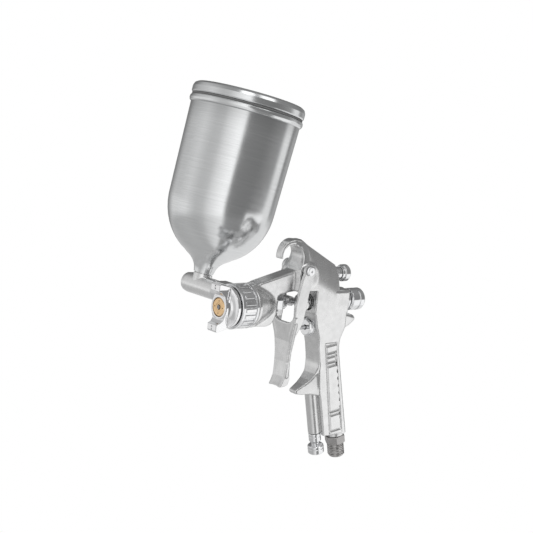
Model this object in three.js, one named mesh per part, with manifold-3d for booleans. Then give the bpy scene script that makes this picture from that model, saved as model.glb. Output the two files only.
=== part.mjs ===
// HVLP gravity-feed spray gun with a side-mounted metal cup.
// Millimetres, +Z up, the gun sprays towards -X, and +Y is the gun's right-hand side.
// Everything is drawn in gun coordinates, whose origin is where the barrel axis meets the air cap's
// front face; the last group moves the origin to the seat of the hanging hook.

import * as THREE from 'three';
import { mergeVertices } from 'three/addons/utils/BufferGeometryUtils.js';
import Module from 'manifold-3d';

const wasm = await Module();
wasm.setup();

// ---------------------------------------------------------------- driving dimensions (mm)

const GAP = 0.3;                       // clearance between separate pieces
const DEG = Math.PI / 180;

const HOOK = { x: 61.6, z: 36, inner: 8.2, outerX: 63, outer: 12, tipZ: 33.7 };
const WEB_HALF = 6;                    // half thickness of the web behind the head
const BODY_HALF = 10;                  // half thickness of the body at the trigger pivot
const GRIP_HALF = 8.3;                 // half thickness of the handle
const RIDGE_ANGLE = 27.7 * DEG;        // fall of the back ridge towards the rear
const GRIP_ANGLE = 14.2 * DEG;         // sweep of the handle from the vertical
const GUIDE_BOSS = 11;                 // radius of the boss around the needle guide
const BODY_REAR = 108;                 // rear face of the upper body
const BOSS_REAR = 119;                 // rear face of the guide boss

const RING = { front: 9.4, rear: 24.6, outer: 16.4, bore: 14.6, lip: 12.7, grooves: 20 };
const CAP = { flange: 15.2, retained: 14.2, neck: 12.3, strip: 8.6 };
const HORN = { tip: -4.8, inner: 11.9, outer: 17.5, half: 4.8, root: 6 };
const NEEDLE = { shaft: 1.6, rear: 2.2, tip: -0.4, end: 115 };

const PIVOT = { x: 72.2, z: 26 };
const ARM = { inner: 10.8, outer: 13.3, head: 5.4 };
const AIR_VALVE = { z: -19.6, front: 84.6, body: 91.2, radius: 7.3 };
const PATTERN_Z = 20.8;                // height of the pattern valve above the barrel axis

const INLET_X = 37.15;                 // fluid inlet axis behind the air cap face
const CUP_Y = 70.3;                    // cup axis to the gun's right of the barrel axis
const CUP_TILT = 12 * DEG;             // cup leans back
const CUP = { wall: 1.1, neck: 7.5, bowlRadius: 41, bowlTop: 65, bowlDepth: 46, mouth: 42.6, bead: 134.5 };
const LID = { outer: 44, seat: 139.6, height: 149.5 };

const INLET = { x: 127.6, z: -105.6 }; // where the air inlet leaves the handle
const TUBE = { topX: 96.6, topZ: -64, x: 106.4, z: -103.6, radius: 4.9 };

const FINE = 28;                       // sides of the large round pieces
const MEDIUM = 20;                     // sides of the middling ones
const COARSE = 12;                     // sides of pins, bores and other small ones

// ---------------------------------------------------------------- materials

function metal(color, roughness) {
  return new THREE.MeshStandardMaterial({ color, roughness, metalness: 1 });
}

const CAST = metal(0xdcdcdc, 0.32);
const CHROME = metal(0xe9eaec, 0.12);
const SATIN = metal(0xb9bbbd, 0.34);
const STEEL = metal(0x9fa1a4, 0.3);
const DARK_STEEL = metal(0x77797c, 0.4);
const BRASS = metal(0xe7b870, 0.3);
const SEAL = new THREE.MeshStandardMaterial({ color: 0xe8e6df, roughness: 0.7, metalness: 0 });
const RUBBER = new THREE.MeshStandardMaterial({ color: 0x1d1d1f, roughness: 0.85, metalness: 0 });

// ---------------------------------------------------------------- solids from three.js geometry

function solid(geometry) {
  const bare = geometry.index ? geometry.clone() : geometry;
  bare.deleteAttribute('normal');
  bare.deleteAttribute('uv');
  const merged = mergeVertices(bare, 1e-5);
  const index = merged.index.array;
  const kept = [];
  for (let i = 0; i < index.length; i += 3) {
    const [a, b, c] = [index[i], index[i + 1], index[i + 2]];
    if (a !== b && b !== c && c !== a) kept.push(a, b, c);
  }
  const mesh = new wasm.Mesh({
    numProp: 3,
    vertProperties: new Float32Array(merged.attributes.position.array),
    triVerts: new Uint32Array(kept),
  });
  return new wasm.Manifold(mesh);
}

function geometryOf(shape) {
  const mesh = shape.getMesh();
  const geometry = new THREE.BufferGeometry();
  geometry.setAttribute('position', new THREE.BufferAttribute(mesh.vertProperties.slice(), 3));
  geometry.setIndex(new THREE.BufferAttribute(mesh.triVerts.slice(), 1));
  geometry.computeVertexNormals();
  return geometry;
}

function union(first, ...rest) {
  return rest.reduce((whole, piece) => whole.add(piece), first);
}

function cut(whole, ...tools) {
  return tools.reduce((left, tool) => left.subtract(tool), whole);
}

// Solid of revolution: `profile` is a closed loop of [radius, along] pairs.
function revolve(profile, segments = MEDIUM) {
  let area = 0;
  profile.forEach(([r, h], i) => {
    const [r2, h2] = profile[(i + 1) % profile.length];
    area += r * h2 - r2 * h;
  });
  const loop = area > 0 ? profile : [...profile].reverse();
  const points = [...loop, loop[0]].map(([r, h]) => new THREE.Vector2(r, h));
  return new THREE.LatheGeometry(points, segments);
}

function alongX(profile, segments) {
  return solid(revolve(profile, segments).rotateZ(-Math.PI / 2));
}

function alongY(profile, segments) {
  return solid(revolve(profile, segments));
}

function alongZ(profile, segments) {
  return solid(revolve(profile, segments).rotateX(Math.PI / 2));
}

// A plain tube or rod: radii and the two ends along the axis.
function sleeve(inner, outer, from, to) {
  return [[inner, from], [outer, from], [outer, to], [inner, to]];
}

function rod(radius, from, to) {
  return sleeve(0, radius, from, to);
}

// Six-sided bar, `flats` across its flats, along +X from `from` to `to`.
function hexX(flats, from, to) {
  const corner = flats / 2 / Math.cos(Math.PI / 6);
  return alongX(rod(corner, from, to), 6);
}

// A side-view outline in (x, z), extruded to y = -half .. +half.
function slab(outline, half) {
  const shape = new THREE.Shape(outline.map(([x, z]) => new THREE.Vector2(x, z)));
  const geometry = new THREE.ExtrudeGeometry(shape, { depth: 2 * half, bevelEnabled: false });
  return solid(geometry.rotateX(Math.PI / 2).translate(0, half, 0));
}

// A plan-view outline in (x, y), extruded from z = low to z = high.
function block(outline, low, high) {
  const shape = new THREE.Shape(outline.map(([x, y]) => new THREE.Vector2(x, y)));
  const geometry = new THREE.ExtrudeGeometry(shape, { depth: high - low, bevelEnabled: false });
  return solid(geometry.translate(0, 0, low));
}

function box(x0, x1, y0, y1, z0, z1) {
  const geometry = new THREE.BoxGeometry(x1 - x0, y1 - y0, z1 - z0);
  return solid(geometry.translate((x0 + x1) / 2, (y0 + y1) / 2, (z0 + z1) / 2));
}

function arc(x, z, radius, from, to, steps) {
  const points = [];
  for (let i = 0; i <= steps; i += 1) {
    const angle = (from + ((to - from) * i) / steps) * DEG;
    points.push([x + radius * Math.cos(angle), z + radius * Math.sin(angle)]);
  }
  return points;
}

// Places a solid drawn along +Z so that it runs down the handle from (x, z).
function downHandle(shape, x, z) {
  return shape.rotate([0, 180 - GRIP_ANGLE / DEG, 0]).translate([x, 0, z]);
}

// ---------------------------------------------------------------- the cast body

function headCasting() {
  return alongX([
    [0, 12.4], [14.1, 12.4], [14.1, 24.9], [15.9, 24.9], [15.9, 27.4],
    [14.6, 31], [12.6, 37], [9.6, 44], [6.6, 50], [0, 50],
  ], FINE);
}

function web() {
  return slab([
    [27.4, -14.6], [41, -15.4], [45.6, -14], [48.2, -10.6], [49.8, -7], [49.8, 6.8], [56, 8.2],
    [66.5, 10], [66.5, 25.6], [33, 17.2], [27.4, 14.9],
  ], WEB_HALF);
}

function hookRing() {
  const outer = arc(HOOK.outerX, HOOK.z, HOOK.outer, 190, 0, 10);
  const inner = arc(HOOK.x, HOOK.z, HOOK.inner, 0, 196, 9);
  const ring = slab([...outer, [HOOK.outerX + HOOK.outer, 26], [HOOK.x + HOOK.inner, 26], ...inner], 7);
  const plan = [[49, -2.5], [53, -2.8], [60, -3.6], [76, -7], [76, 7], [60, 3.6], [53, 2.8], [49, 2.5]];
  const taper = block(plan, 20, 60);
  return ring.intersect(taper);
}

// The upper body is a slab whose top is planed to a narrow ridge that falls towards the rear.
function upperBody() {
  const outline = [
    [65.6, 9.8], [84.6, 9.8], [84.6, -6.8], [BODY_REAR, -6.8], [BODY_REAR, 24.5], [105.5, 28.2], [69, 47.4],
    ...arc(HOOK.x, HOOK.z, HOOK.inner, 62, -12, 6), [68.6, 31], [65.6, 26.2],
  ];
  const length = 60;
  const roof = new THREE.Shape([[-12, -90], [12, -90], [12, -15], [3.2, 1], [-3.2, 1], [-12, -15]]
    .map(([y, h]) => new THREE.Vector2(y, h)));
  const prism = new THREE.ExtrudeGeometry(roof, { depth: length + 40, bevelEnabled: false })
    .rotateX(Math.PI / 2).rotateZ(Math.PI / 2)
    .translate(-30, 0, 0).rotateY(RIDGE_ANGLE).translate(69, 0, 47.4);
  const boss = alongY(rod(10.6, -BODY_HALF, BODY_HALF), MEDIUM).translate([PIVOT.x + 1, 0, PIVOT.z - 1]);
  return slab(outline, BODY_HALF).intersect(solid(prism)).add(boss);
}

function handle() {
  const outline = [
    [84.9, -6.6], [86.8, -8.6], [88.4, -18], [92.6, -26], [96.2, -43], [97.6, -56], [100.6, -72],
    [109.2, -105.2], [134.2, -105.4], [117.8, -40], [115.6, -28], [119, -20], [119, -6.6],
  ];
  const upper = slab(outline, BODY_HALF - 0.4).intersect(box(80, 140, -12, 12, -30, 0));
  const lower = slab(outline, GRIP_HALF).intersect(box(80, 140, -12, 12, -140, -29));
  return union(upper, lower);
}

// Rear horn that stops the hand from riding up.
function tang() {
  return slab([
    [110, -8], [119, -9.4], [125, -10], [132, -12.4], [132.6, -16], [128, -19.6], [121, -22.6],
    [116, -28], [110, -28],
  ], 5);
}

function fingerProng() {
  return slab([
    [97, -52], [96.2, -58], [82, -65.6], [78.6, -67.6], [79, -70], [84, -71.4], [92, -70.6],
    [102, -72], [102, -52],
  ], 4.7);
}

function handleDetails(body) {
  const along = new THREE.Vector3(Math.sin(GRIP_ANGLE), 0, -Math.cos(GRIP_ANGLE));
  let shaped = body;
  for (let i = 0; i < 9; i += 1) {
    const notch = alongY(rod(1.1, -12, 12), 6);
    shaped = shaped.subtract(notch.translate([118.6 + along.x * i * 6, 0, -42 + along.z * i * 6]));
  }
  for (const side of [-1, 1]) {
    const panel = slab([[101.6, -41], [110.6, -41], [123.2, -88], [113.4, -88]], 1.2);
    shaped = shaped.subtract(panel.translate([0, side * (GRIP_HALF + 0.5), 0]));
  }
  return shaped;
}

function passages() {
  const barrel = alongX([
    [0, 0], [12.6, 0], [12.6, 18], [6.6, 18], [6.6, 31], [3.6, 31], [3.6, 45.6], [4.6, 45.6],
    [4.6, 60], [0, 60],
  ], MEDIUM);
  const fluid = alongY(rod(5.2, 3, 40), MEDIUM).translate([INLET_X, 0, 0]);
  const spring = alongX(rod(6.4, 60, 130), MEDIUM);
  const valve = alongX(rod(5.4, 80, 114.6), MEDIUM).translate([0, 0, AIR_VALVE.z]);
  const valveSeat = alongX(rod(7.8, 78, 88.5), MEDIUM).translate([0, 0, AIR_VALVE.z]);
  const inlet = downHandle(alongZ(rod(4.6, 0, 88), COARSE), 0, 0)
    .translate([INLET.x - Math.sin(GRIP_ANGLE) * 84, 0, INLET.z + Math.cos(GRIP_ANGLE) * 84]);
  const regulator = downHandle(alongZ(rod(2.6, 0, 60), COARSE), 0, 0)
    .translate([TUBE.x - Math.sin(GRIP_ANGLE) * 30, 0, TUBE.z + Math.cos(GRIP_ANGLE) * 30]);
  const glandSeat = downHandle(alongZ(rod(5.4, 0, 20), COARSE), TUBE.x, TUBE.z);
  const pattern = alongX(rod(3.6, 84, 130), COARSE).translate([0, 0, PATTERN_Z]);
  const pin = alongY(rod(2.3, -20, 20), COARSE).translate([PIVOT.x, 0, PIVOT.z]);
  return [barrel, fluid, spring, valve, valveSeat, inlet, regulator, glandSeat, pattern, pin];
}

function gunBody() {
  const boss = alongX(rod(GUIDE_BOSS, 95, BOSS_REAR), MEDIUM);
  const underside = box(95, BOSS_REAR, -BODY_HALF + 0.4, BODY_HALF - 0.4, -8, 4.5);
  const patternBoss = alongX(rod(5.4, 96, BODY_REAR + 1.6), 16).translate([0, 0, PATTERN_Z]);
  const length = Math.hypot(TUBE.x - TUBE.topX, TUBE.z - TUBE.topZ);
  const tube = downHandle(alongZ(rod(TUBE.radius, 0, length), 16), TUBE.topX, TUBE.topZ);
  const inletBoss = downHandle(alongZ(rod(7.6, -14, 1.6), 16), INLET.x, INLET.z);
  const whole = union(
    headCasting(), web(), hookRing(), upperBody(), boss, underside, patternBoss, handle(), tang(),
    fingerProng(), tube, inletBoss,
  );
  return cut(handleDetails(whole), ...passages());
}

// ---------------------------------------------------------------- nozzle end

function airCap() {
  const bowl = alongX([
    [6.9, 0], [CAP.strip, 0], [CAP.strip, 1.6], [10.2, 4], [12.4, 5.6], [CAP.flange, 6.6], [CAP.flange, 8.6],
    [CAP.neck, 8.6], [CAP.neck, 11.2], [CAP.retained, 11.2], [CAP.retained, 12], [10.4, 12], [8.6, 3.4], [6.9, 3.4],
  ], FINE);
  const horns = [-1, 1].map((side) => {
    const outline = [
      [HORN.root, side * 7], [0, side * 7.4], [-0.4, side * 8.8], [-2, side * 10.8], [HORN.tip, side * HORN.inner],
      [HORN.tip, side * (HORN.outer - 1)], [HORN.tip + 1.6, side * HORN.outer], [HORN.root + 1.6, side * 14.6],
    ];
    return slab(side > 0 ? outline.reverse() : outline, HORN.half);
  });
  const bowlInside = alongX([[0, 0.8], [8.6, 3.4], [10.4, 12], [10.4, 20], [0, 20]], MEDIUM);
  const eye = alongX(rod(6.9, -4, 4), MEDIUM);
  return cut(union(bowl, ...horns), bowlInside, eye);
}

function airCapPlate() {
  const plate = alongX([[1.75, -0.2], [6.1, -0.2], [6.6, 0.3], [6.6, 3], [1.75, 3]], MEDIUM);
  const holes = [0, 90, 180, 270].map((turn) => alongX(rod(0.35, -1, 4), 6)
    .translate([0, 0, 4.1]).rotate([turn, 0, 0]));
  return cut(plate, ...holes);
}

function airCapRing() {
  const ring = alongX([
    [RING.lip, RING.front], [RING.outer - 0.6, RING.front], [RING.outer, RING.front + 0.8],
    [RING.outer, RING.rear - 0.6], [RING.outer - 0.6, RING.rear],
    [RING.bore, RING.rear], [RING.bore, RING.front + 1.5], [RING.lip, RING.front + 1.5],
  ], RING.grooves);
  const grooves = [];
  for (let i = 0; i < RING.grooves; i += 1) {
    const groove = box(RING.front + 3.4, RING.rear - 2.6, -1, 1, RING.outer - 0.7, RING.outer + 2);
    grooves.push(groove.rotate([(360 * i) / RING.grooves, 0, 0]));
  }
  return cut(ring, ...grooves);
}

function fluidNozzle() {
  return alongX([
    [0.9, -0.5], [1.4, -0.5], [1.4, 3.2], [5.2, 9], [7.4, 9.4], [7.4, 17.6], [6.2, 17.6], [6.2, 30.6],
    [3.2, 30.6], [3.2, 8], [0.9, 3],
  ], MEDIUM);
}

function airBaffle() {
  const plate = alongX(sleeve(7.8, 12.2, 14, 17.6), MEDIUM);
  const holes = [];
  for (let i = 0; i < 6; i += 1) {
    holes.push(alongX(rod(0.9, 12, 20), 6).translate([0, 0, 10]).rotate([60 * i, 0, 0]));
  }
  return cut(plate, ...holes);
}

// ---------------------------------------------------------------- needle train

function fluidNeedle() {
  return alongX([
    [0, NEEDLE.tip], [0.45, NEEDLE.tip], [0.55, 3], [NEEDLE.shaft, 9.5], [NEEDLE.shaft, 75.2], [NEEDLE.rear, 75.2],
    [NEEDLE.rear, 84], [3.1, 85], [3.1, 87], [NEEDLE.rear, 87], [NEEDLE.rear, NEEDLE.end], [0, NEEDLE.end],
  ], COARSE);
}

function needleCollar() {
  return alongX([
    [NEEDLE.rear + GAP, 75.6], [5.6, 75.6], [6, 76.2], [6, 78.4], [4.2, 79.2], [4.2, 82], [NEEDLE.rear + GAP, 82],
  ], MEDIUM);
}

function needlePacking() {
  return alongX(sleeve(NEEDLE.shaft + GAP, 4.3, 45.9, 48.6), 20);
}

function packingNut() {
  const thread = alongX(rod(4.3, 49, 51), 20);
  const hex = hexX(11, 50.4, 56.4);
  const nose = alongX([[0, 56.2], [4.6, 56.2], [4.6, 60], [3.8, 61.4], [0, 61.4]], 20);
  return cut(union(thread, hex, nose), alongX(rod(NEEDLE.shaft + GAP, 40, 70), 16));
}

// Helical compression spring along +X, with `turns` coils between `from` and `to`.
function spring(radius, wire, turns, from, to) {
  const points = [];
  const steps = turns * 8;
  for (let i = 0; i <= steps; i += 1) {
    const angle = (2 * Math.PI * turns * i) / steps;
    const x = from + ((to - from) * i) / steps;
    points.push(new THREE.Vector3(x, radius * Math.cos(angle), radius * Math.sin(angle)));
  }
  const section = new THREE.Shape();
  section.absarc(0, 0, wire / 2, 0, 2 * Math.PI, false);
  const path = new THREE.CatmullRomCurve3(points);
  const options = { steps, curveSegments: 3, bevelEnabled: false, extrudePath: path };
  return solid(new THREE.ExtrudeGeometry(section, options));
}

function needleGuide() {
  return alongX([
    [3.4, 99], [6, 99], [6, 119.4], [8.4, 119.4], [8.4, 121.4], [6.6, 121.4], [6.6, 123.6], [3.4, 123.6],
  ], MEDIUM);
}

function fluidKnob() {
  return alongX([
    [0, 121.8], [3, 121.8], [3, 124], [7.2, 124], [8.5, 124.8], [8.5, 130.6], [7.9, 131], [7.9, 132], [8.5, 132.4],
    [8.5, 136], [7.6, 137.4], [0, 137.4],
  ], MEDIUM);
}

// ---------------------------------------------------------------- pattern valve

function patternGuide() {
  return alongX([
    [1.9, 104], [3.3, 104], [3.3, 110], [4.6, 110], [4.6, 113.2], [1.9, 113.2],
  ], COARSE).translate([0, 0, PATTERN_Z]);
}

function patternStem() {
  return alongX([[0, 88], [1, 91], [1.55, 91], [1.55, 114.6], [0, 114.6]], COARSE).translate([0, 0, PATTERN_Z]);
}

function patternKnob() {
  const knob = alongX([
    [1.9, 113.6], [5.4, 113.6], [5.4, 115.4], [6.5, 116], [6.5, 119.8], [5.8, 120.8], [0, 120.8], [0, 115.2],
    [1.9, 115.2],
  ], MEDIUM);
  return knob.translate([0, 0, PATTERN_Z]);
}

// ---------------------------------------------------------------- air valve

function airValveGland() {
  return alongX([
    [1.9, AIR_VALVE.front], [5.6, AIR_VALVE.front], [6.6, 85.6], [6.6, 87.2], [AIR_VALVE.radius, 87.6],
    [AIR_VALVE.radius, 88.2], [5, 88.2], [5, 101], [3, 101], [3, 90], [1.9, 90],
  ], MEDIUM).translate([0, 0, AIR_VALVE.z]);
}

function airValveStem() {
  const stem = alongX([
    [0, 67.4], [1, 67.6], [1.5, 68.4], [1.5, 101.4], [4.6, 101.4], [4.6, 102.6], [0, 102.6],
  ], COARSE);
  return stem.translate([0, 0, AIR_VALVE.z]);
}

// ---------------------------------------------------------------- trigger

function triggerSide(half, side) {
  const arm = slab([
    ...arc(PIVOT.x, PIVOT.z, ARM.head, 200, 10, 7), [76.2, 19], [74, 10], [72.6, 0], [70.6, -12.5], [67.4, -24],
    [67.4, -44], [66.8, -58], [64, -60.4], [63, -56], [63.8, -44], [63.6, -28], [62, -13], [61.6, 0], [63.4, 10],
    [65.6, 20],
  ], half);
  const plan = side * (ARM.inner + ARM.outer) / 2;
  return arm.translate([0, plan, 0]);
}

// The two arms drop straight from the pivot, then close in along a shear to the finger plate.
function trigger() {
  const thickness = (ARM.outer - ARM.inner) / 2;
  const arms = [-1, 1].map((side) => triggerSide(thickness, side).intersect(box(50, 90, -20, 20, -15, 40)));
  const plateSide = [[-15, 13.3], [-24, 9.6], [-36, 7.6], [-63, 6.4]];
  const inward = plateSide.map(([z, y]) => [z, y - 2.5]);
  const flank = (side) => {
    const ring = [...plateSide, ...[...inward].reverse()].map(([z, y]) => new THREE.Vector2(side * y, z));
    const shape = new THREE.Shape(ring);
    const geometry = new THREE.ExtrudeGeometry(shape, { depth: 40, bevelEnabled: false });
    const wall = solid(geometry.rotateX(Math.PI / 2).rotateZ(Math.PI / 2).translate(50, 0, 0));
    return wall.intersect(slab([
      [61.9, -14.9], [71, -14.9], [67.6, -24], [67.4, -44], [66.6, -57], [63, -62], [60.4, -62.4], [63.8, -52],
      [63.8, -40], [63.4, -28],
    ], 20));
  };
  const plateOutline = new THREE.Shape([
    [-13.2, -12.6], [-9.6, -24], [-7.6, -36], [-6.4, -62.4], [6.4, -62.4], [7.6, -36], [9.6, -24], [13.2, -12.6],
    [6, -11], [3, -13.4], [-3, -13.4], [-6, -11],
  ].map(([y, z]) => new THREE.Vector2(y, z)));
  const cutter = solid(new THREE.ExtrudeGeometry(plateOutline, { depth: 40, bevelEnabled: false })
    .rotateX(Math.PI / 2).rotateZ(Math.PI / 2).translate(50, 0, 0));
  const plate = slab([
    [61.8, -11], [64.4, -11], [66, -28], [66.2, -44], [65.4, -55], [62.2, -62.4], [60.2, -62.2], [63.2, -54],
    [64, -44], [63.6, -28], [62.2, -16],
  ], 20).intersect(cutter);
  const lugs = [-1, 1].map((side) => {
    const round = alongY(rod(3.6, 3.4, ARM.outer - 0.6), COARSE).translate([71.7, 0, 0]);
    return side > 0 ? round : round.mirror([0, 1, 0]);
  });
  const whole = union(plate, ...arms, flank(1), flank(-1), ...lugs);
  return cut(whole, alongY(rod(2.3, -20, 20), COARSE).translate([PIVOT.x, 0, PIVOT.z]));
}

function triggerPin() {
  return alongY([
    [0, -11], [2, -11], [2, 13.6], [4, 13.6], [4, 14.2], [3.2, 15], [0, 15],
  ], COARSE).translate([PIVOT.x, 0, PIVOT.z]);
}

function triggerScrew() {
  const screw = alongY([
    [0, -15], [3.2, -15], [4, -14.2], [4, -13.6], [2, -13.6], [2, -11.4], [0, -11.4],
  ], COARSE);
  const slot = box(-5, 5, -16, -14.3, -0.5, 0.5).rotate([0, 40, 0]);
  return screw.subtract(slot).translate([PIVOT.x, 0, PIVOT.z]);
}

// ---------------------------------------------------------------- handle bottom

function airInlet() {
  const hex = alongZ(rod(8.2, 2, 8.4), 6);
  const thread = alongZ([[0, 8], [6.58, 8], [6.58, 18.8], [5.9, 19.6], [0, 19.6]], MEDIUM);
  const spigot = alongZ(rod(4.2, -9, 3), COARSE);
  const bore = alongZ(rod(3, -20, 30), COARSE);
  return downHandle(cut(union(hex, thread, spigot), bore), INLET.x, INLET.z);
}

function regulatorGland() {
  return downHandle(alongZ([
    [1.7, 0.4], [4.5, 0.4], [4.7, 1.2], [4.7, 6.6], [4.2, 7.4], [1.7, 7.4],
  ], 16), TUBE.x, TUBE.z);
}

function regulatorStem() {
  return downHandle(alongZ([[0, -16], [1, -14], [1.35, -14], [1.35, 9.6], [0, 9.6]], COARSE), TUBE.x, TUBE.z);
}

function regulatorKnob() {
  return downHandle(alongZ([
    [1.7, 8.2], [3.2, 8.2], [3.2, 10.2], [5.6, 10.6], [6.2, 11.2], [6.2, 16.4], [5.4, 17.2], [0, 17.2], [0, 10],
    [1.7, 10],
  ], MEDIUM), TUBE.x, TUBE.z);
}

// ---------------------------------------------------------------- cup side

function fluidNipple() {
  const bore = 3;
  const nut = alongY(rod(8.6, 15.6, 22.6), 6);
  const barrel = alongY([[bore, 5], [4.9, 5], [4.9, 16], [bore, 16]], MEDIUM);
  const spout = alongY([[bore, 22], [6.4, 22], [6.4, 37], [4.2, 39.4], [bore, 39.4]], MEDIUM);
  return cut(union(nut, barrel, spout), alongY(rod(bore, 0, 60), COARSE)).translate([INLET_X, 0, 0]);
}

function unionNut() {
  const hex = alongY(rod(9.4, 34.4, 46.6), 6);
  const bore = alongY([[0, 30], [6.8, 30], [6.8, 40.4], [0, 40.4]], MEDIUM);
  const throat = alongY(rod(5.8, 30, 60), MEDIUM);
  return cut(hex, bore, throat).translate([INLET_X, 0, 0]);
}

// A point of the cup at height h along its tilted axis.
function inCup(shape) {
  return shape.rotate([0, CUP_TILT / DEG, 0]).translate([INLET_X, CUP_Y, 0]);
}

function elbow() {
  const arm = alongY([
    [0, 39.8], [5.2, 39.8], [5.2, 47.4], [7.6, 48], [7.8, 82], [7.2, 85], [5.6, 87.2], [3, 88.4], [0, 88.6],
  ], MEDIUM).translate([INLET_X, 0, 0]);
  const riser = inCup(alongZ([[0, 0], [7.3, 0], [7.3, 9], [6.4, 9], [6.4, 13.6], [0, 13.6]], MEDIUM));
  const across = alongY(rod(2.9, 30, CUP_Y + 2), COARSE).translate([INLET_X, 0, 0]);
  const down = inCup(alongZ(rod(3.4, -1, 20), COARSE));
  return cut(union(arm, riser), across, down);
}

// Outer radius of the cup at height h: a half-ellipse bowl under a slowly opening wall.
function cupRadius(h) {
  const { bowlRadius, bowlTop, bowlDepth, mouth, bead } = CUP;
  if (h >= bowlTop) return bowlRadius + ((mouth - bowlRadius) * (h - bowlTop)) / (bead - bowlTop);
  return bowlRadius * Math.sqrt(1 - ((bowlTop - h) / bowlDepth) ** 2);
}

function cupShell() {
  const neck = [[CUP.neck, 9.6], [8.1, 13], [9.8, 16.5], [13, 20]];
  const heights = [24, 29, 36, 45, 55, CUP.bowlTop, CUP.bead];
  const wall = heights.map((h) => [cupRadius(h), h]);
  const rim = [[43.6, 135.4], [43.8, 138.6], [41.4, 138.8]];
  const lining = heights.map((h) => [cupRadius(h) - CUP.wall, h + (h < 50 ? 1 : 0)]).reverse();
  const throat = [[9, 21.4], [6.8, 18], [6.8, 9.6]];
  return inCup(alongZ([...neck, ...wall, ...rim, ...lining, ...throat], FINE));
}

function cupLid() {
  return inCup(alongZ([
    [0, 147], [36, 147], [40.2, 143.6], [40.2, 140.6], [LID.outer - 0.9, 140.6], [LID.outer, 141.6],
    [LID.outer, 145.2], [LID.outer - 0.8, 147.6], [LID.outer - 3, 149.3], [LID.outer - 6, LID.height],
    [20, LID.height + 0.6], [0, LID.height + 0.8],
  ], FINE));
}

function lidGasket() {
  return inCup(alongZ(sleeve(41.4, 43.2, 139.1, 140.3), FINE));
}

// ---------------------------------------------------------------- assembly

const PARTS = [
  ['gun_body', gunBody, CAST],
  ['air_cap', airCap, CHROME],
  ['air_cap_plate', airCapPlate, BRASS],
  ['air_cap_ring', airCapRing, CHROME],
  ['fluid_nozzle', fluidNozzle, STEEL],
  ['air_baffle', airBaffle, BRASS],
  ['fluid_needle', fluidNeedle, STEEL],
  ['needle_collar', needleCollar, CHROME],
  ['needle_packing', needlePacking, SEAL],
  ['packing_nut', packingNut, CHROME],
  ['needle_spring', () => spring(4.4, 0.9, 7, 82.9, 98.4), STEEL],
  ['needle_guide', needleGuide, CHROME],
  ['fluid_knob', fluidKnob, CHROME],
  ['pattern_guide', patternGuide, CHROME],
  ['pattern_stem', patternStem, STEEL],
  ['pattern_knob', patternKnob, CHROME],
  ['air_valve_gland', airValveGland, CHROME],
  ['air_valve_stem', airValveStem, STEEL],
  ['trigger', trigger, CAST],
  ['trigger_pin', triggerPin, CHROME],
  ['trigger_screw', triggerScrew, CHROME],
  ['air_inlet', airInlet, DARK_STEEL],
  ['regulator_gland', regulatorGland, CHROME],
  ['regulator_stem', regulatorStem, STEEL],
  ['regulator_knob', regulatorKnob, CHROME],
  ['fluid_nipple', fluidNipple, CHROME],
  ['cup_union_nut', unionNut, CHROME],
  ['cup_elbow', elbow, SATIN],
  ['cup_shell', cupShell, SATIN],
  ['lid_gasket', lidGasket, RUBBER],
  ['cup_lid', cupLid, SATIN],
];

const gun = new THREE.Group();
gun.position.set(-HOOK.x, 0, -(HOOK.z + HOOK.inner));

for (const [name, make, material] of PARTS) {
  const mesh = new THREE.Mesh(geometryOf(make()), material);
  mesh.name = name;
  gun.add(mesh);
}

const sprayGun = new THREE.Group();
sprayGun.add(gun);

export default sprayGun;
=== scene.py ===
"""Looks of a gravity-feed spray gun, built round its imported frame.

Sizes are in millimetres on the gun's own axes: x runs from the face of the air cap to the rear,
y towards the side of the cup, z up, and the origin is on the barrel axis at the air cap face.
Castings are skinned from distance fields, turned and repeated pieces come from Geometry Nodes.
"""

import logging
import math
from collections.abc import Callable, Sequence
from dataclasses import dataclass
from enum import Enum
from typing import ClassVar

import bmesh
import bpy
import numpy as np
from mathutils import Matrix, Vector


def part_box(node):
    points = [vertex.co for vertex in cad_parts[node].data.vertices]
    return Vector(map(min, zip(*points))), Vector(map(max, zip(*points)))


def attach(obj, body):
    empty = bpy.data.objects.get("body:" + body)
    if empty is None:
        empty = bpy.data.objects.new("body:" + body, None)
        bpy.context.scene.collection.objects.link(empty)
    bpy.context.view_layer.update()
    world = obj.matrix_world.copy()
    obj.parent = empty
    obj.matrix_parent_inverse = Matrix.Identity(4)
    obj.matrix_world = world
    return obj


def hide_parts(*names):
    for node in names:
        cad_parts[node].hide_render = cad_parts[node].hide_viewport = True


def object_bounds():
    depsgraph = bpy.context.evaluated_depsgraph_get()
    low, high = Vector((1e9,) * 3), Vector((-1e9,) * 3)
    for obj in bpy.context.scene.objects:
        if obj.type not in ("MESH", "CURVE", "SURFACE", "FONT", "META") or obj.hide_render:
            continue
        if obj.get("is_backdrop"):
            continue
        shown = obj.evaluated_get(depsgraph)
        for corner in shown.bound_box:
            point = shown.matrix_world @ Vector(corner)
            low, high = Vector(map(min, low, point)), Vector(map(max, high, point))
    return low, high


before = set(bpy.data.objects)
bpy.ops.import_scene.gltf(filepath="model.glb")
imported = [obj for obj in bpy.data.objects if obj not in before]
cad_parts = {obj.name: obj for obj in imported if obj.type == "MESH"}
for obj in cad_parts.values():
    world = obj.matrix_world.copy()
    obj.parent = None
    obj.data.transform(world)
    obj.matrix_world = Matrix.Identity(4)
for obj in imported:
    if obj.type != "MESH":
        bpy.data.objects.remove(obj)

MM = 0.001
WELD = 2e-6
SENSOR_WIDTH = 36.0
LOG = logging.getLogger("spray_gun")

Array = np.ndarray
Outline = Sequence[tuple[float, ...]]
FieldRule = Callable[[Array, Array, Array], Array]


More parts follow.
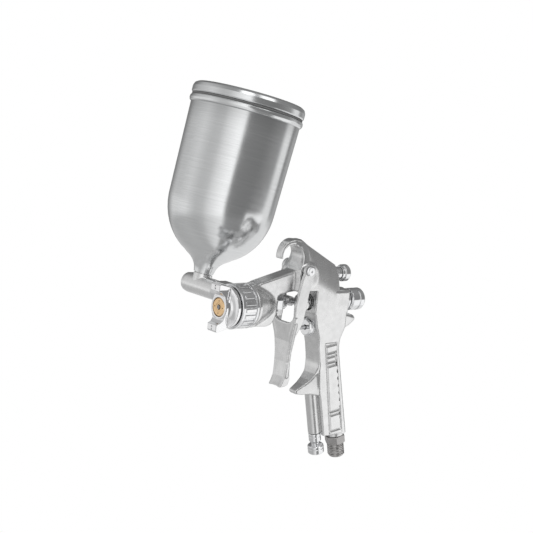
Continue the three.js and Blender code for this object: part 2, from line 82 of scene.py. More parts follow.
def gun_origin() -> Vector:
    """Finds the gun's own origin in the frame.

    Returns:
        The point on the barrel axis at the air cap face, in metres.
    """
    plate_proud = 0.2 * MM
    ring_low, ring_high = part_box("air_cap_ring")
    plate_low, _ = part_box("air_cap_plate")
    return Vector((plate_low.x + plate_proud, (ring_low.y + ring_high.y) / 2, (ring_low.z + ring_high.z) / 2))


ORIGIN = gun_origin()
HANDLE_SWEEP = math.radians(14.2)
CUP_LEAN = math.radians(12.0)
DOWN_HANDLE = (math.sin(HANDLE_SWEEP), 0.0, -math.cos(HANDLE_SWEEP))
UP_CUP = (math.sin(CUP_LEAN), 0.0, math.cos(CUP_LEAN))


class Axis(Enum):
    """The centre lines that turned pieces stand on: a start in millimetres and a direction."""

    BARREL = ((0.0, 0.0, 0.0), (1.0, 0.0, 0.0))
    PATTERN = ((0.0, 0.0, 20.8), (1.0, 0.0, 0.0))
    AIR_VALVE = ((0.0, 0.0, -19.6), (1.0, 0.0, 0.0))
    PIVOT = ((72.2, 0.0, 26.0), (0.0, 1.0, 0.0))
    CROSS = ((37.15, 0.0, 0.0), (0.0, 1.0, 0.0))
    CUP = ((37.15, 70.3, 0.0), UP_CUP)
    INLET = ((127.6, 0.0, -105.6), DOWN_HANDLE)
    TUBE = ((106.4, 0.0, -103.6), DOWN_HANDLE)

    def matrix(self) -> Matrix:
        """Gives the axis as a placing in the frame.

        Returns:
            A matrix whose z column is the direction, and whose place is the start in metres.
        """
        start, direction = self.value
        along = Vector(direction)
        across = Vector((1.0, 0.0, 0.0)) if abs(along.y) > 0.9 else Vector((0.0, 1.0, 0.0)).cross(along)
        third = along.cross(across)
        turn = Matrix((across, third, along)).transposed().to_4x4()
        return Matrix.Translation(ORIGIN + Vector(start) * MM) @ turn


# ------------------------------------------------------------------ distance fields


def outline_distance(u: Array, v: Array, outline: Outline) -> Array:
    """Measures signed distance to a closed outline in a plane.

    Args:
        u: First coordinate of the points.
        v: Second coordinate of the points.
        outline: Corners of the outline in order.

    Returns:
        Distance in millimetres, negative inside.
    """
    nearest = None
    inside = None
    for (u0, v0), (u1, v1) in zip(outline, [*outline[1:], outline[0]]):
        eu, ev = u1 - u0, v1 - v0
        wu, wv = u - u0, v - v0
        share = np.clip((wu * eu + wv * ev) / (eu * eu + ev * ev), 0.0, 1.0)
        square = (wu - eu * share) ** 2 + (wv - ev * share) ** 2
        crosses = ((v0 <= v) != (v1 <= v)) & ((wu * ev < eu * wv) == (ev > 0))
        nearest = square if nearest is None else np.minimum(nearest, square)
        inside = crosses if inside is None else inside ^ crosses
    return np.where(inside, -1.0, 1.0) * np.sqrt(nearest)


def rounded_and(a: Array, b: Array, radius: float) -> Array:
    """Keeps what is inside both fields, with the shared edge rounded to the radius."""
    a, b = a + radius, b + radius
    return np.minimum(np.maximum(a, b), 0.0) + np.hypot(np.maximum(a, 0.0), np.maximum(b, 0.0)) - radius


def blended_or(a: Array, b: Array, radius: float) -> Array:
    """Joins two fields with a fillet of about the radius."""
    share = np.clip(0.5 + 0.5 * (b - a) / radius, 0.0, 1.0)
    return b + (a - b) * share - radius * share * (1.0 - share)


def blended_cut(a: Array, b: Array, radius: float) -> Array:
    """Cuts field b out of field a with an eased edge."""
    return -blended_or(-a, b, radius)


def slab(x: Array, y: Array, z: Array, outline: Outline, half: float | Array, edge: float) -> Array:
    """Field of a side-view outline given a thickness about the middle plane.

    Args:
        x: Sample places towards the rear.
        y: Sample places across.
        z: Sample places up.
        outline: Corners as (x, z).
        half: Half the thickness, which may change from place to place.
        edge: Radius of the rounded rim.

    Returns:
        Signed distance in millimetres.
    """
    return rounded_and(outline_distance(x, z, outline), np.abs(y) - half, edge)


def turned(along: Array, radius: Array, profile: Outline, edge: float = 0.0) -> Array:
    """Field of a turned solid whose closed profile is given as (along, radius)."""
    return outline_distance(along, radius, profile) - edge


def bar(
    along: Array, across: Array, up: Array, radius: float, low: float, high: float, edge: float = 0.3
) -> Array:
    """Field of a round bar between two places on its axis, with eased ends.

    Args:
        along: Sample places along the axis.
        across: Sample places across it.
        up: Sample places square to both.
        radius: Radius of the bar.
        low: Where it starts on the axis.
        high: Where it ends.
        edge: Rounding of its ends.

    Returns:
        Signed distance in millimetres.
    """
    return rounded_and(
        np.hypot(across, up) - radius, np.abs(along - (low + high) / 2) - (high - low) / 2, edge
    )


def arc_points(
    x: float, z: float, radius: float, start: float, end: float, count: int
) -> list[tuple[float, float]]:
    """Lists points on an arc.

    Args:
        x: Centre towards the rear.
        z: Centre up.
        radius: Radius of the arc.
        start: First angle, in degrees from the rear direction.
        end: Last angle, in degrees.
        count: Number of steps.

    Returns:
        One more point than steps, in order.
    """
    angles = [math.radians(start + (end - start) * i / count) for i in range(count + 1)]
    return [(x + radius * math.cos(a), z + radius * math.sin(a)) for a in angles]


def slanted(axis: Axis, x: Array, z: Array) -> tuple[Array, Array]:
    """Measures places against a centre line that lies in the middle plane.

    Args:
        axis: The centre line.
        x: Sample places towards the rear.
        z: Sample places up.

    Returns:
        Millimetres along the line, and across it.
    """
    (start_x, _, start_z), (run, _, rise) = axis.value
    along = (x - start_x) * run + (z - start_z) * rise
    across = (z - start_z) * run - (x - start_x) * rise
    return along, across


@dataclass
class Casting:
    """Skins a distance field with an even quad mesh that is drawn onto the true surface.

    Attributes:
        low: Lowest corner of the sampled block.
        high: Highest corner of the sampled block.
        step: Spacing of the samples, and about the size of a face.
        pulls: How many times the skin is drawn onto the surface.
    """

    low: tuple[float, float, float]
    high: tuple[float, float, float]
    step: float
    pulls: int = 2

    def skin(self, rule: FieldRule) -> tuple[Array, Array]:
        """Finds the surface where the field is zero.

        Args:
            rule: The field, which takes arrays that broadcast together.

        Returns:
            Points in millimetres and quads that face outwards.
        """
        ticks = [np.arange(a, b + self.step, self.step) for a, b in zip(self.low, self.high)]
        x, y, z = np.meshgrid(*ticks, indexing="ij", sparse=True)
        values = np.broadcast_to(rule(x, y, z), tuple(len(t) for t in ticks))
        cells, numbers = self._cells(values)
        points = self._crossings(values, cells) * self.step + np.array(self.low)
        quads = self._quads(values, numbers)
        for _ in range(self.pulls):
            points = self._pulled(rule, points)
        return points, quads

    def _cells(self, values: Array) -> tuple[Array, Array]:
        """Finds the cells that the surface passes through.

        Args:
            values: The sampled field.

        Returns:
            The cells as rows of indices, and a block that gives each cell its number.
        """
        inside = (values < 0).astype(np.int8)
        total = sum(
            inside[i : inside.shape[0] - 1 + i, j : inside.shape[1] - 1 + j, k : inside.shape[2] - 1 + k]
            for i in (0, 1) for j in (0, 1) for k in (0, 1)
        )
        mixed = (total > 0) & (total < 8)
        numbers = np.full(mixed.shape, -1, np.int64)
        numbers[mixed] = np.arange(int(mixed.sum()))
        return np.argwhere(mixed), numbers

    def _crossings(self, values: Array, cells: Array) -> Array:
        """Averages the places where the surface crosses the edges of each cell.

        Args:
            values: The sampled field.
            cells: The cells as rows of indices.

        Returns:
            One point for each cell, in steps from the lowest corner.
        """
        total = np.zeros((len(cells), 3))
        count = np.zeros(len(cells))
        for way in range(3):
            for side in range(4):
                corner = np.zeros(3, np.int64)
                corner[(way + 1) % 3], corner[(way + 2) % 3] = side & 1, side >> 1
                other = corner.copy()
                other[way] = 1
                a = values[tuple((cells + corner).T)]
                b = values[tuple((cells + other).T)]
                cross = (a < 0) != (b < 0)
                share = np.where(cross, a / np.where(cross, a - b, 1.0), 0.0)
                place = corner + share[:, None] * (other - corner)
                total += np.where(cross[:, None], place, 0.0)
                count += cross
        return cells + total / count[:, None]

    def _quads(self, values: Array, numbers: Array) -> Array:
        """Joins the cells round every sample pair that the surface separates.

        Args:
            values: The sampled field.
            numbers: The number of each cell.

        Returns:
            Quads that face outwards, as rows of cell numbers.
        """
        inside = values < 0
        found = []
        for way in range(3):
            u, v = (way + 1) % 3, (way + 2) % 3
            near = np.moveaxis(inside, (way, u, v), (0, 1, 2))
            cell = np.moveaxis(numbers, (way, u, v), (0, 1, 2))
            here, there = near[:-1, 1:-1, 1:-1], near[1:, 1:-1, 1:-1]
            corners = [cell[:, :-1, :-1], cell[:, 1:, :-1], cell[:, 1:, 1:], cell[:, :-1, 1:]]
            out, back = here & ~there, ~here & there
            found.append(np.stack([c[out] for c in corners], 1))
            found.append(np.stack([c[back] for c in reversed(corners)], 1))
        return np.concatenate(found)

    def _pulled(self, rule: FieldRule, points: Array) -> Array:
        """Moves the points along the field's slope onto the zero surface.

        Args:
            rule: The field.
            points: Points near its surface.

        Returns:
            The points after one move, which is never longer than half a face.
        """
        nudge, least_slope, longest_move = 0.02, 0.25, 0.45
        here = rule(*points.T)
        slope = np.stack([rule(*(points + step).T) - here for step in np.eye(3) * nudge], 1) / nudge
        size = np.maximum((slope**2).sum(1), least_slope)
        move = -(here / size)[:, None] * slope
        reach = np.linalg.norm(move, axis=1, keepdims=True)
        return points + move * np.minimum(1.0, longest_move * self.step / np.maximum(reach, 1e-9))


def mesh_of(name: str, points: Array, faces: Sequence, smooth: bool = True) -> bpy.types.Object:
    """Makes an object at the frame's origin from points on the gun's own axes.

    Args:
        name: Name of the piece.
        points: Places in millimetres.
        faces: Corners of each face.
        smooth: Whether the faces are shaded smooth.

    Returns:
        The new object, linked to the scene.
    """
    mesh = bpy.data.meshes.new(name)
    placed = np.asarray(points) * MM + np.array(ORIGIN)
    mesh.from_pydata(placed.tolist(), [], [list(map(int, f)) for f in faces])
    mesh.polygons.foreach_set("use_smooth", [smooth] * len(mesh.polygons))
    mesh.update()
    piece = bpy.data.objects.new(name, mesh)
    bpy.context.scene.collection.objects.link(piece)
    return piece


# ------------------------------------------------------------------ node helpers


@dataclass
class Graph:
    """Adds and joins nodes in one tree.

    Attributes:
        tree: The tree that the nodes go into.
    """

    tree: bpy.types.NodeTree

    def add(self, kind: str, inputs: dict | None = None, **settings: object) -> bpy.types.Node:
        """Adds one node.

        Args:
            kind: The node's type name.
            inputs: Values or sockets for its inputs, by name or number.
            **settings: Properties of the node.

        Returns:
            The new node.
        """
        node = self.tree.nodes.new(kind)
        for key, value in settings.items():
            setattr(node, key, value)
        for key, value in (inputs or {}).items():
            if isinstance(value, bpy.types.NodeSocket):
                self.tree.links.new(value, node.inputs[key])
            else:
                node.inputs[key].default_value = value
        return node

    def math(self, operation: str, a: object, b: object = 0.0, c: object = 0.0) -> bpy.types.NodeSocket:
        """Adds a Math node and returns its result."""
        return self.add("ShaderNodeMath", {0: a, 1: b, 2: c}, operation=operation).outputs[0]


def sockets(tree: bpy.types.NodeTree, inputs: dict[str, tuple], outputs: dict[str, str]) -> None:
    """Gives a group its named sockets.

    Args:
        tree: The node group.
        inputs: Socket type and starting value for each name.
        outputs: Socket type for each name.
    """
    for name, (kind, value) in inputs.items():
        socket = tree.interface.new_socket(name, in_out="INPUT", socket_type=kind)
        if value is not None:
            socket.default_value = value
    for name, kind in outputs.items():
        tree.interface.new_socket(name, in_out="OUTPUT", socket_type=kind)


FLOAT, VECTOR = "NodeSocketFloat", "NodeSocketVector"
SHAPE, SUBSTANCE, WHOLE = "NodeSocketGeometry", "NodeSocketMaterial", "NodeSocketInt"


# ------------------------------------------------------------------ shapes that follow a rule


class Recipes:
    """The Geometry Nodes trees of the gun, each made when it is first wanted."""

    def __init__(self) -> None:
        """Starts with no trees."""
        self._trees: dict[str, bpy.types.NodeTree] = {}

    def _started(self, name: str, inputs: dict[str, tuple]) -> tuple[Graph, bpy.types.Node]:
        """Opens a tree with its named inputs.

        Args:
            name: Name of the tree.
            inputs: Socket type and starting value for each input after the geometry.

        Returns:
            The graph and its group input node.
        """
        tree = bpy.data.node_groups.new(name, "GeometryNodeTree")
        sockets(tree, {"Geometry": (SHAPE, None), **inputs, "Finish": (SUBSTANCE, None)}, {"Geometry": SHAPE})
        graph = Graph(tree)
        return graph, graph.add("NodeGroupInput")

    def _finished(
        self, graph: Graph, start: bpy.types.Node, shape: bpy.types.NodeSocket
    ) -> bpy.types.NodeTree:
        """Closes a tree: shading by angle, real geometry and the finish.

        Args:
            graph: The graph to close.
            start: Its group input node.
            shape: The geometry so far.

        Returns:
            The finished tree.
        """
        sharp = math.radians(32)
        real = graph.add("GeometryNodeRealizeInstances", {"Geometry": shape})
        smooth = graph.add("GeometryNodeSetShadeSmooth", {"Geometry": real.outputs[0], "Shade Smooth": True})
        bend = graph.add("GeometryNodeInputMeshEdgeAngle").outputs["Unsigned Angle"]
        crisp = graph.add(
            "GeometryNodeSetShadeSmooth",
            {
                "Geometry": smooth.outputs[0], "Selection": graph.math("GREATER_THAN", bend, sharp),
                "Shade Smooth": False
            },
            domain="EDGE",
        )
        dressed = graph.add(
            "GeometryNodeSetMaterial", {"Geometry": crisp.outputs[0], "Material": start.outputs["Finish"]}
        )
        graph.add("NodeGroupOutput", {"Geometry": dressed.outputs[0]})
        return graph.tree

    def turned(self) -> bpy.types.NodeTree:
        """Sweeps a profile chain round the z axis, and mills flats on it where they are wanted.

        Returns:
            A tree with the inputs Sides, Flats and Across Flats.
        """
        if "turned" in self._trees:
            return self._trees["turned"]
        graph, start = self._started(
            "Turned Piece", {"Sides": (WHOLE, 64), "Flats": (WHOLE, 6), "Across Flats": (FLOAT, 10.0)}
        )
        chain = start.outputs["Geometry"]
        length = graph.add("GeometryNodeAttributeDomainSize", {"Geometry": chain}).outputs["Point Count"]
        columns = graph.math("ADD", start.outputs["Sides"], 1.0)
        grid = graph.add(
            "GeometryNodeMeshGrid", {"Vertices X": columns, "Vertices Y": length}
        ).outputs["Mesh"]
        number = graph.add("GeometryNodeInputIndex").outputs[0]
        row = graph.math("FLOORED_MODULO", number, length)
        column = graph.math("FLOOR", graph.math("DIVIDE", graph.math("ADD", number, 0.5), length))
        angle = graph.math("MULTIPLY", graph.math("DIVIDE", column, start.outputs["Sides"]), math.tau)
        place = graph.add("GeometryNodeInputPosition").outputs[0]
        sampled = graph.add(
            "GeometryNodeSampleIndex", {"Geometry": chain, "Value": place, "Index": row},
            data_type="FLOAT_VECTOR"
        )
        parts = graph.add("ShaderNodeSeparateXYZ", {0: sampled.outputs[0]}).outputs
        sector = graph.math("DIVIDE", math.tau, start.outputs["Flats"])
        turn = graph.math(
            "SUBTRACT", graph.math("FLOORED_MODULO", angle, sector), graph.math("DIVIDE", sector, 2.0)
        )
        flat = graph.math(
            "DIVIDE", graph.math("DIVIDE", start.outputs["Across Flats"], 2.0), graph.math("COSINE", turn)
        )
        radius = graph.math("MINIMUM", parts[0], flat)
        spot = graph.add(
            "ShaderNodeCombineXYZ",
            {
                0: graph.math("MULTIPLY", radius, graph.math("COSINE", angle)),
                1: graph.math("MULTIPLY", radius, graph.math("SINE", angle)),
                2: parts[2],
            },
        )
        bent = graph.add("GeometryNodeSetPosition", {"Geometry": grid, "Position": spot.outputs[0]})
        sewn = graph.add("GeometryNodeMergeByDistance", {"Geometry": bent.outputs[0], "Distance": WELD})
        self._trees["turned"] = self._finished(graph, start, sewn.outputs[0])
        return self._trees["turned"]

    def ring_of(self) -> bpy.types.NodeTree:
        """Repeats one shape round the z axis.

        Returns:
            A tree with the input Count.
        """
        if "ring" in self._trees:
            return self._trees["ring"]
        graph, start = self._started("Ring Of", {"Count": (WHOLE, 20)})
        spots = graph.add(
            "GeometryNodeMeshLine", {"Count": start.outputs["Count"], "Offset": (0.0, 0.0, 0.0)}
        )
        number = graph.add("GeometryNodeInputIndex").outputs[0]
        turn = graph.math("MULTIPLY", graph.math("DIVIDE", number, start.outputs["Count"]), math.tau)
        euler = graph.add("ShaderNodeCombineXYZ", {2: turn})
        copies = graph.add(
            "GeometryNodeInstanceOnPoints",
            {"Points": spots.outputs[0], "Instance": start.outputs["Geometry"], "Rotation": euler.outputs[0]},
        )
        self._trees["ring"] = self._finished(graph, start, copies.outputs[0])
        return self._trees["ring"]

    def coil(self) -> bpy.types.NodeTree:
        """Winds a round or cornered wire up the z axis.

        Returns:
            A tree with the inputs Turns, Radius, Rise, Wire, Wire Sides and Steps.
        """
        if "coil" in self._trees:
            return self._trees["coil"]
        graph, start = self._started(
            "Wound Wire",
            {
                "Turns": (FLOAT, 7.0), "Radius": (FLOAT, 0.004), "Rise": (FLOAT, 0.015),
                "Wire": (FLOAT, 0.0005),
                "Wire Sides": (WHOLE, 10), "Steps": (WHOLE, 40),
            },
        )
        path = graph.add(
            "GeometryNodeCurveSpiral",
            {
                "Resolution": start.outputs["Steps"], "Rotations": start.outputs["Turns"],
                "Start Radius": start.outputs["Radius"], "End Radius": start.outputs["Radius"],
                "Height": start.outputs["Rise"],
            },
        )
        section = graph.add(
            "GeometryNodeCurvePrimitiveCircle",
            {"Resolution": start.outputs["Wire Sides"], "Radius": start.outputs["Wire"]},
        )
        tube = graph.add(
            "GeometryNodeCurveToMesh",
            {"Curve": path.outputs[0], "Profile Curve": section.outputs[0], "Fill Caps": True},
        )
        self._trees["coil"] = self._finished(graph, start, tube.outputs[0])
        return self._trees["coil"]

    def cook(
        self, tree: bpy.types.NodeTree, name: str, base: bpy.types.Mesh, axis: Axis, values: dict[str, object]
    ) -> bpy.types.Object:
        """Runs a tree on a base mesh and keeps the result as a plain mesh in its place.

        Args:
            tree: The tree to run.
            name: Name of the piece.
            base: Mesh that goes in, in metres about the axis.
            axis: The centre line that the piece stands on.
            values: Value of each named input.

        Returns:
            The finished object.
        """
        piece = bpy.data.objects.new(name, base)
        bpy.context.scene.collection.objects.link(piece)
        modifier = piece.modifiers.new("Build", "NODES")
        modifier.node_group = tree
        for item in tree.interface.items_tree:
            if item.item_type == "SOCKET" and item.in_out == "INPUT" and item.name in values:
                modifier[item.identifier] = values[item.name]
        graph = bpy.context.evaluated_depsgraph_get()
        made = bpy.data.meshes.new_from_object(
            piece.evaluated_get(graph), preserve_all_data_layers=True, depsgraph=graph
        )
        piece.modifiers.clear()
        piece.data = made
        made.name = name
        close_up(made)
        made.transform(axis.matrix())
        made.update()
        return piece


def close_up(mesh: bpy.types.Mesh) -> None:
    """Merges doubled points of a mesh and points its faces outwards.

    Args:
        mesh: The mesh, which is changed in place.
    """
    work = bmesh.new()
    work.from_mesh(mesh)
    bmesh.ops.remove_doubles(work, verts=work.verts, dist=WELD)
    bmesh.ops.recalc_face_normals(work, faces=work.faces)
    work.to_mesh(mesh)
    work.free()


def chain_mesh(points: Outline) -> bpy.types.Mesh:
    """Makes a mesh of edges from a profile.

    Args:
        points: Places as (radius, along) in millimetres.

    Returns:
        The new mesh, in metres about the z axis.
    """
    mesh = bpy.data.meshes.new("profile")
    places = [(r * MM, 0.0, h * MM) for r, h in points]
    mesh.from_pydata(places, [(i, i + 1) for i in range(len(places) - 1)], [])
    return mesh


def eased(points: Outline, fillet: float, closed: bool = True, steps: int = 4) -> list[tuple[float, float]]:
    """Rounds the corners of a turned profile.

    Args:
        points: (radius, along) or (radius, along, its own fillet) in order.
        fillet: Radius for the corners that don't name their own.
        closed: Whether the last point joins the first.
        steps: Faces across each rounded corner.

    Returns:
        The eased profile, with the first point repeated at its end when closed.
    """
    hold = 0.12
    eased_points: list[tuple[float, float]] = []
    count = len(points)
    for i, point in enumerate(points):
        here = np.array(point[:2], float)
        size = point[2] if len(point) > 2 else fillet
        is_end = not closed and i in (0, count - 1)
        if is_end or size <= 0 or here[0] < 1e-6:
            eased_points.append((float(here[0]), float(here[1])))
            continue
        before = np.array(points[i - 1][:2], float) - here
        after = np.array(points[(i + 1) % count][:2], float) - here
        reach_a, reach_b = np.linalg.norm(before), np.linalg.norm(after)
        way_a, way_b = before / reach_a, after / reach_b
        half_angle = math.acos(float(np.clip(way_a @ way_b, -1, 1))) / 2
        cut = min(size / max(math.tan(half_angle), 1e-3), 0.45 * reach_a, 0.45 * reach_b)
        if cut + hold < 0.48 * reach_a:
            eased_points.append(tuple(here + way_a * (cut + hold)))
        for step in range(steps + 1):
            u = step / steps
            eased_points.append(tuple(here + way_a * cut * (1 - u) ** 2 + way_b * cut * u**2))
        if cut + hold < 0.48 * reach_b:
            eased_points.append(tuple(here + way_b * (cut + hold)))
    if closed:
        eased_points.append(eased_points[0])
    return eased_points


def facing_out(points: Outline) -> list[tuple[float, ...]]:
    """Puts a profile in the order that makes its turned faces point outwards."""
    area = sum(a[0] * b[1] - b[0] * a[1] for a, b in zip(points, [*points[1:], points[0]]))
    return list(points) if area > 0 else list(reversed(points))


RECIPES = Recipes()


@dataclass(frozen=True)
class Turning:
    """One turned piece.

    Attributes:
        name: Name of the piece.
        axis: The centre line that it is turned about.
        profile: (radius, along) points, with an own fillet where there is a third number.
        fillet: Radius of the other corners.
        closed: Whether the profile is a loop, rather than a chain that starts and ends on the axis.
        sides: Faces round the piece.
        across: Distance across its flats, or nothing for a round piece.
    """

    name: str
    axis: Axis
    profile: Outline
    fillet: float = 0.25
    closed: bool = True
    sides: int = 72
    across: float = 1000.0

    def make(self, finish: bpy.types.Material) -> bpy.types.Object:
        """Turns the piece in the given finish.

        Args:
            finish: Its material.

        Returns:
            The finished object.
        """
        points = eased(facing_out(self.profile), self.fillet, self.closed)
        values = {"Sides": self.sides, "Flats": 6, "Across Flats": self.across * MM, "Finish": finish}
        return RECIPES.cook(RECIPES.turned(), f"turned_{self.name}", chain_mesh(points), self.axis, values)


# ------------------------------------------------------------------ finishes


class Effects:
    """Shader groups that several finishes share. Each puts out only masks and heights."""

    def __init__(self) -> None:
        """Starts with no groups."""
        self._groups: dict[str, bpy.types.NodeTree] = {}

    def _group(
        self, name: str, inputs: dict[str, tuple], outputs: dict[str, str]
    ) -> tuple[Graph, bpy.types.Node]:
        """Opens a shader group.

        Args:
            name: Name of the group.
            inputs: Socket type and starting value of each input.
            outputs: Socket type of each output.

        Returns:
            The graph and its group input node.
        """
        tree = bpy.data.node_groups.new(name, "ShaderNodeTree")
        sockets(tree, inputs, outputs)
        self._groups[name] = tree
        graph = Graph(tree)
        return graph, graph.add("NodeGroupInput")

    def grain(self) -> bpy.types.NodeTree:
        """Grain of a cast and polished face.

        Returns:
            A group with the inputs Vector, Grain Scale and Ripple Scale, and the outputs Height and Tone.
        """
        name = "Cast Grain"
        if name not in self._groups:
            graph, start = self._group(
                name,
                {"Vector": (VECTOR, None), "Grain Scale": (FLOAT, 2600.0), "Ripple Scale": (FLOAT, 190.0)},
                {"Height": FLOAT, "Tone": FLOAT},
            )
            place = start.outputs["Vector"]
            fine = graph.add(
                "ShaderNodeTexNoise", {"Vector": place, "Scale": start.outputs["Grain Scale"], "Detail": 3.0}
            ).outputs[0]
            ripple = graph.add(
                "ShaderNodeTexNoise", {"Vector": place, "Scale": start.outputs["Ripple Scale"], "Detail": 2.0}
            ).outputs[0]
            height = graph.math("ADD", graph.math("MULTIPLY", fine, 0.35), ripple)
            graph.add("NodeGroupOutput", {"Height": height, "Tone": ripple})
        return self._groups[name]

    def turning(self) -> bpy.types.NodeTree:
        """Fine lines that a lathe tool or a polishing cloth leaves round the z axis.

        Returns:
            A group with the inputs Vector, Line Scale and Run, and the outputs Height and Lines.
        """
        name = "Turning Lines"
        if name not in self._groups:
            graph, start = self._group(
                name,
                {"Vector": (VECTOR, None), "Line Scale": (FLOAT, 3000.0), "Run": (FLOAT, 1.5)},
                {"Height": FLOAT, "Lines": FLOAT},
            )
            parts = graph.add("ShaderNodeSeparateXYZ", {0: start.outputs["Vector"]}).outputs
            reach = graph.math(
                "SQRT",
                graph.math(
                    "ADD", graph.math("MULTIPLY", parts[0], parts[0]),
                    graph.math("MULTIPLY", parts[1], parts[1])
                )
            )
            angle = graph.math("MULTIPLY", graph.math("ARCTAN2", parts[1], parts[0]), start.outputs["Run"])
            spot = graph.add(
                "ShaderNodeCombineXYZ",
                {
                    0: graph.math("MULTIPLY", reach, start.outputs["Line Scale"]),
                    1: graph.math("MULTIPLY", parts[2], start.outputs["Line Scale"]),
                    2: angle,
                },
            )
            lines = graph.add(
                "ShaderNodeTexNoise", {"Vector": spot.outputs[0], "Scale": 1.0, "Detail": 2.0}
            ).outputs[0]
            graph.add("NodeGroupOutput", {"Height": lines, "Lines": lines})
        return self._groups[name]

    def rubbed_edges_and_crease_shade(self) -> bpy.types.NodeTree:
        """Corners that handling has rubbed brighter, and painted shade that darkens the inner corners.

        Returns:
            A group with the inputs Vector and Breakup Scale, and the outputs Mask and Painted Crease Shade.
        """
        name = "Edge Wear And Shading"
        if name not in self._groups:
            graph, start = self._group(
                name, {"Vector": (VECTOR, None), "Breakup Scale": (FLOAT, 320.0)},
                {"Mask": FLOAT, "Cavity": FLOAT}
            )
            ridge = graph.add("ShaderNodeNewGeometry").outputs["Pointiness"]
            breakup = graph.add(
                "ShaderNodeTexNoise",
                {"Vector": start.outputs["Vector"], "Scale": start.outputs["Breakup Scale"], "Detail": 4.0},
            ).outputs[0]
            lift = graph.math("MULTIPLY", graph.math("SUBTRACT", breakup, 0.5), 0.06)
            edge = graph.add(
                "ShaderNodeMapRange", {0: graph.math("ADD", ridge, lift), 1: 0.53, 2: 0.62}
            ).outputs[0]
            # Painted shade: this mask marks inner corners by pointiness, so the colour can be darkened there
            # as shade would.
            crease_shade_mask = graph.add("ShaderNodeMapRange", {0: ridge, 1: 0.40, 2: 0.485, 3: 1.0, 4: 0.0}).outputs[0]
            graph.add("NodeGroupOutput", {"Mask": edge, "Cavity": crease_shade_mask})
        return self._groups[name]

    def handling(self) -> bpy.types.NodeTree:
        """Faint smears and hairline scratches of a used tool.

        Returns:
            A group with the inputs Vector and Smear Scale, and the outputs Smears and Scratches.
        """
        name = "Handling Marks"
        if name not in self._groups:
            graph, start = self._group(
                name, {"Vector": (VECTOR, None), "Smear Scale": (FLOAT, 45.0)},
                {"Smears": FLOAT, "Scratches": FLOAT}
            )
            place = start.outputs["Vector"]
            smears = graph.add(
                "ShaderNodeTexNoise",
                {"Vector": place, "Scale": start.outputs["Smear Scale"], "Detail": 5.0, "Distortion": 0.6},
            ).outputs[0]
            drawn = graph.add(
                "ShaderNodeMapping", {"Vector": place, "Rotation": (0.4, 0.9, 0.3), "Scale": (1.0, 1.0, 22.0)}
            )
            hair = graph.add(
                "ShaderNodeTexNoise", {"Vector": drawn.outputs[0], "Scale": 160.0, "Detail": 2.0}
            ).outputs[0]
            scratch = graph.add("ShaderNodeMapRange", {0: hair, 1: 0.66, 2: 0.72}).outputs[0]
            graph.add("NodeGroupOutput", {"Smears": smears, "Scratches": scratch})
        return self._groups[name]


EFFECTS = Effects()


class Surface(Enum):
    """How the face of a finish was worked."""

    CAST = "cast"
    TURNED = "turned"


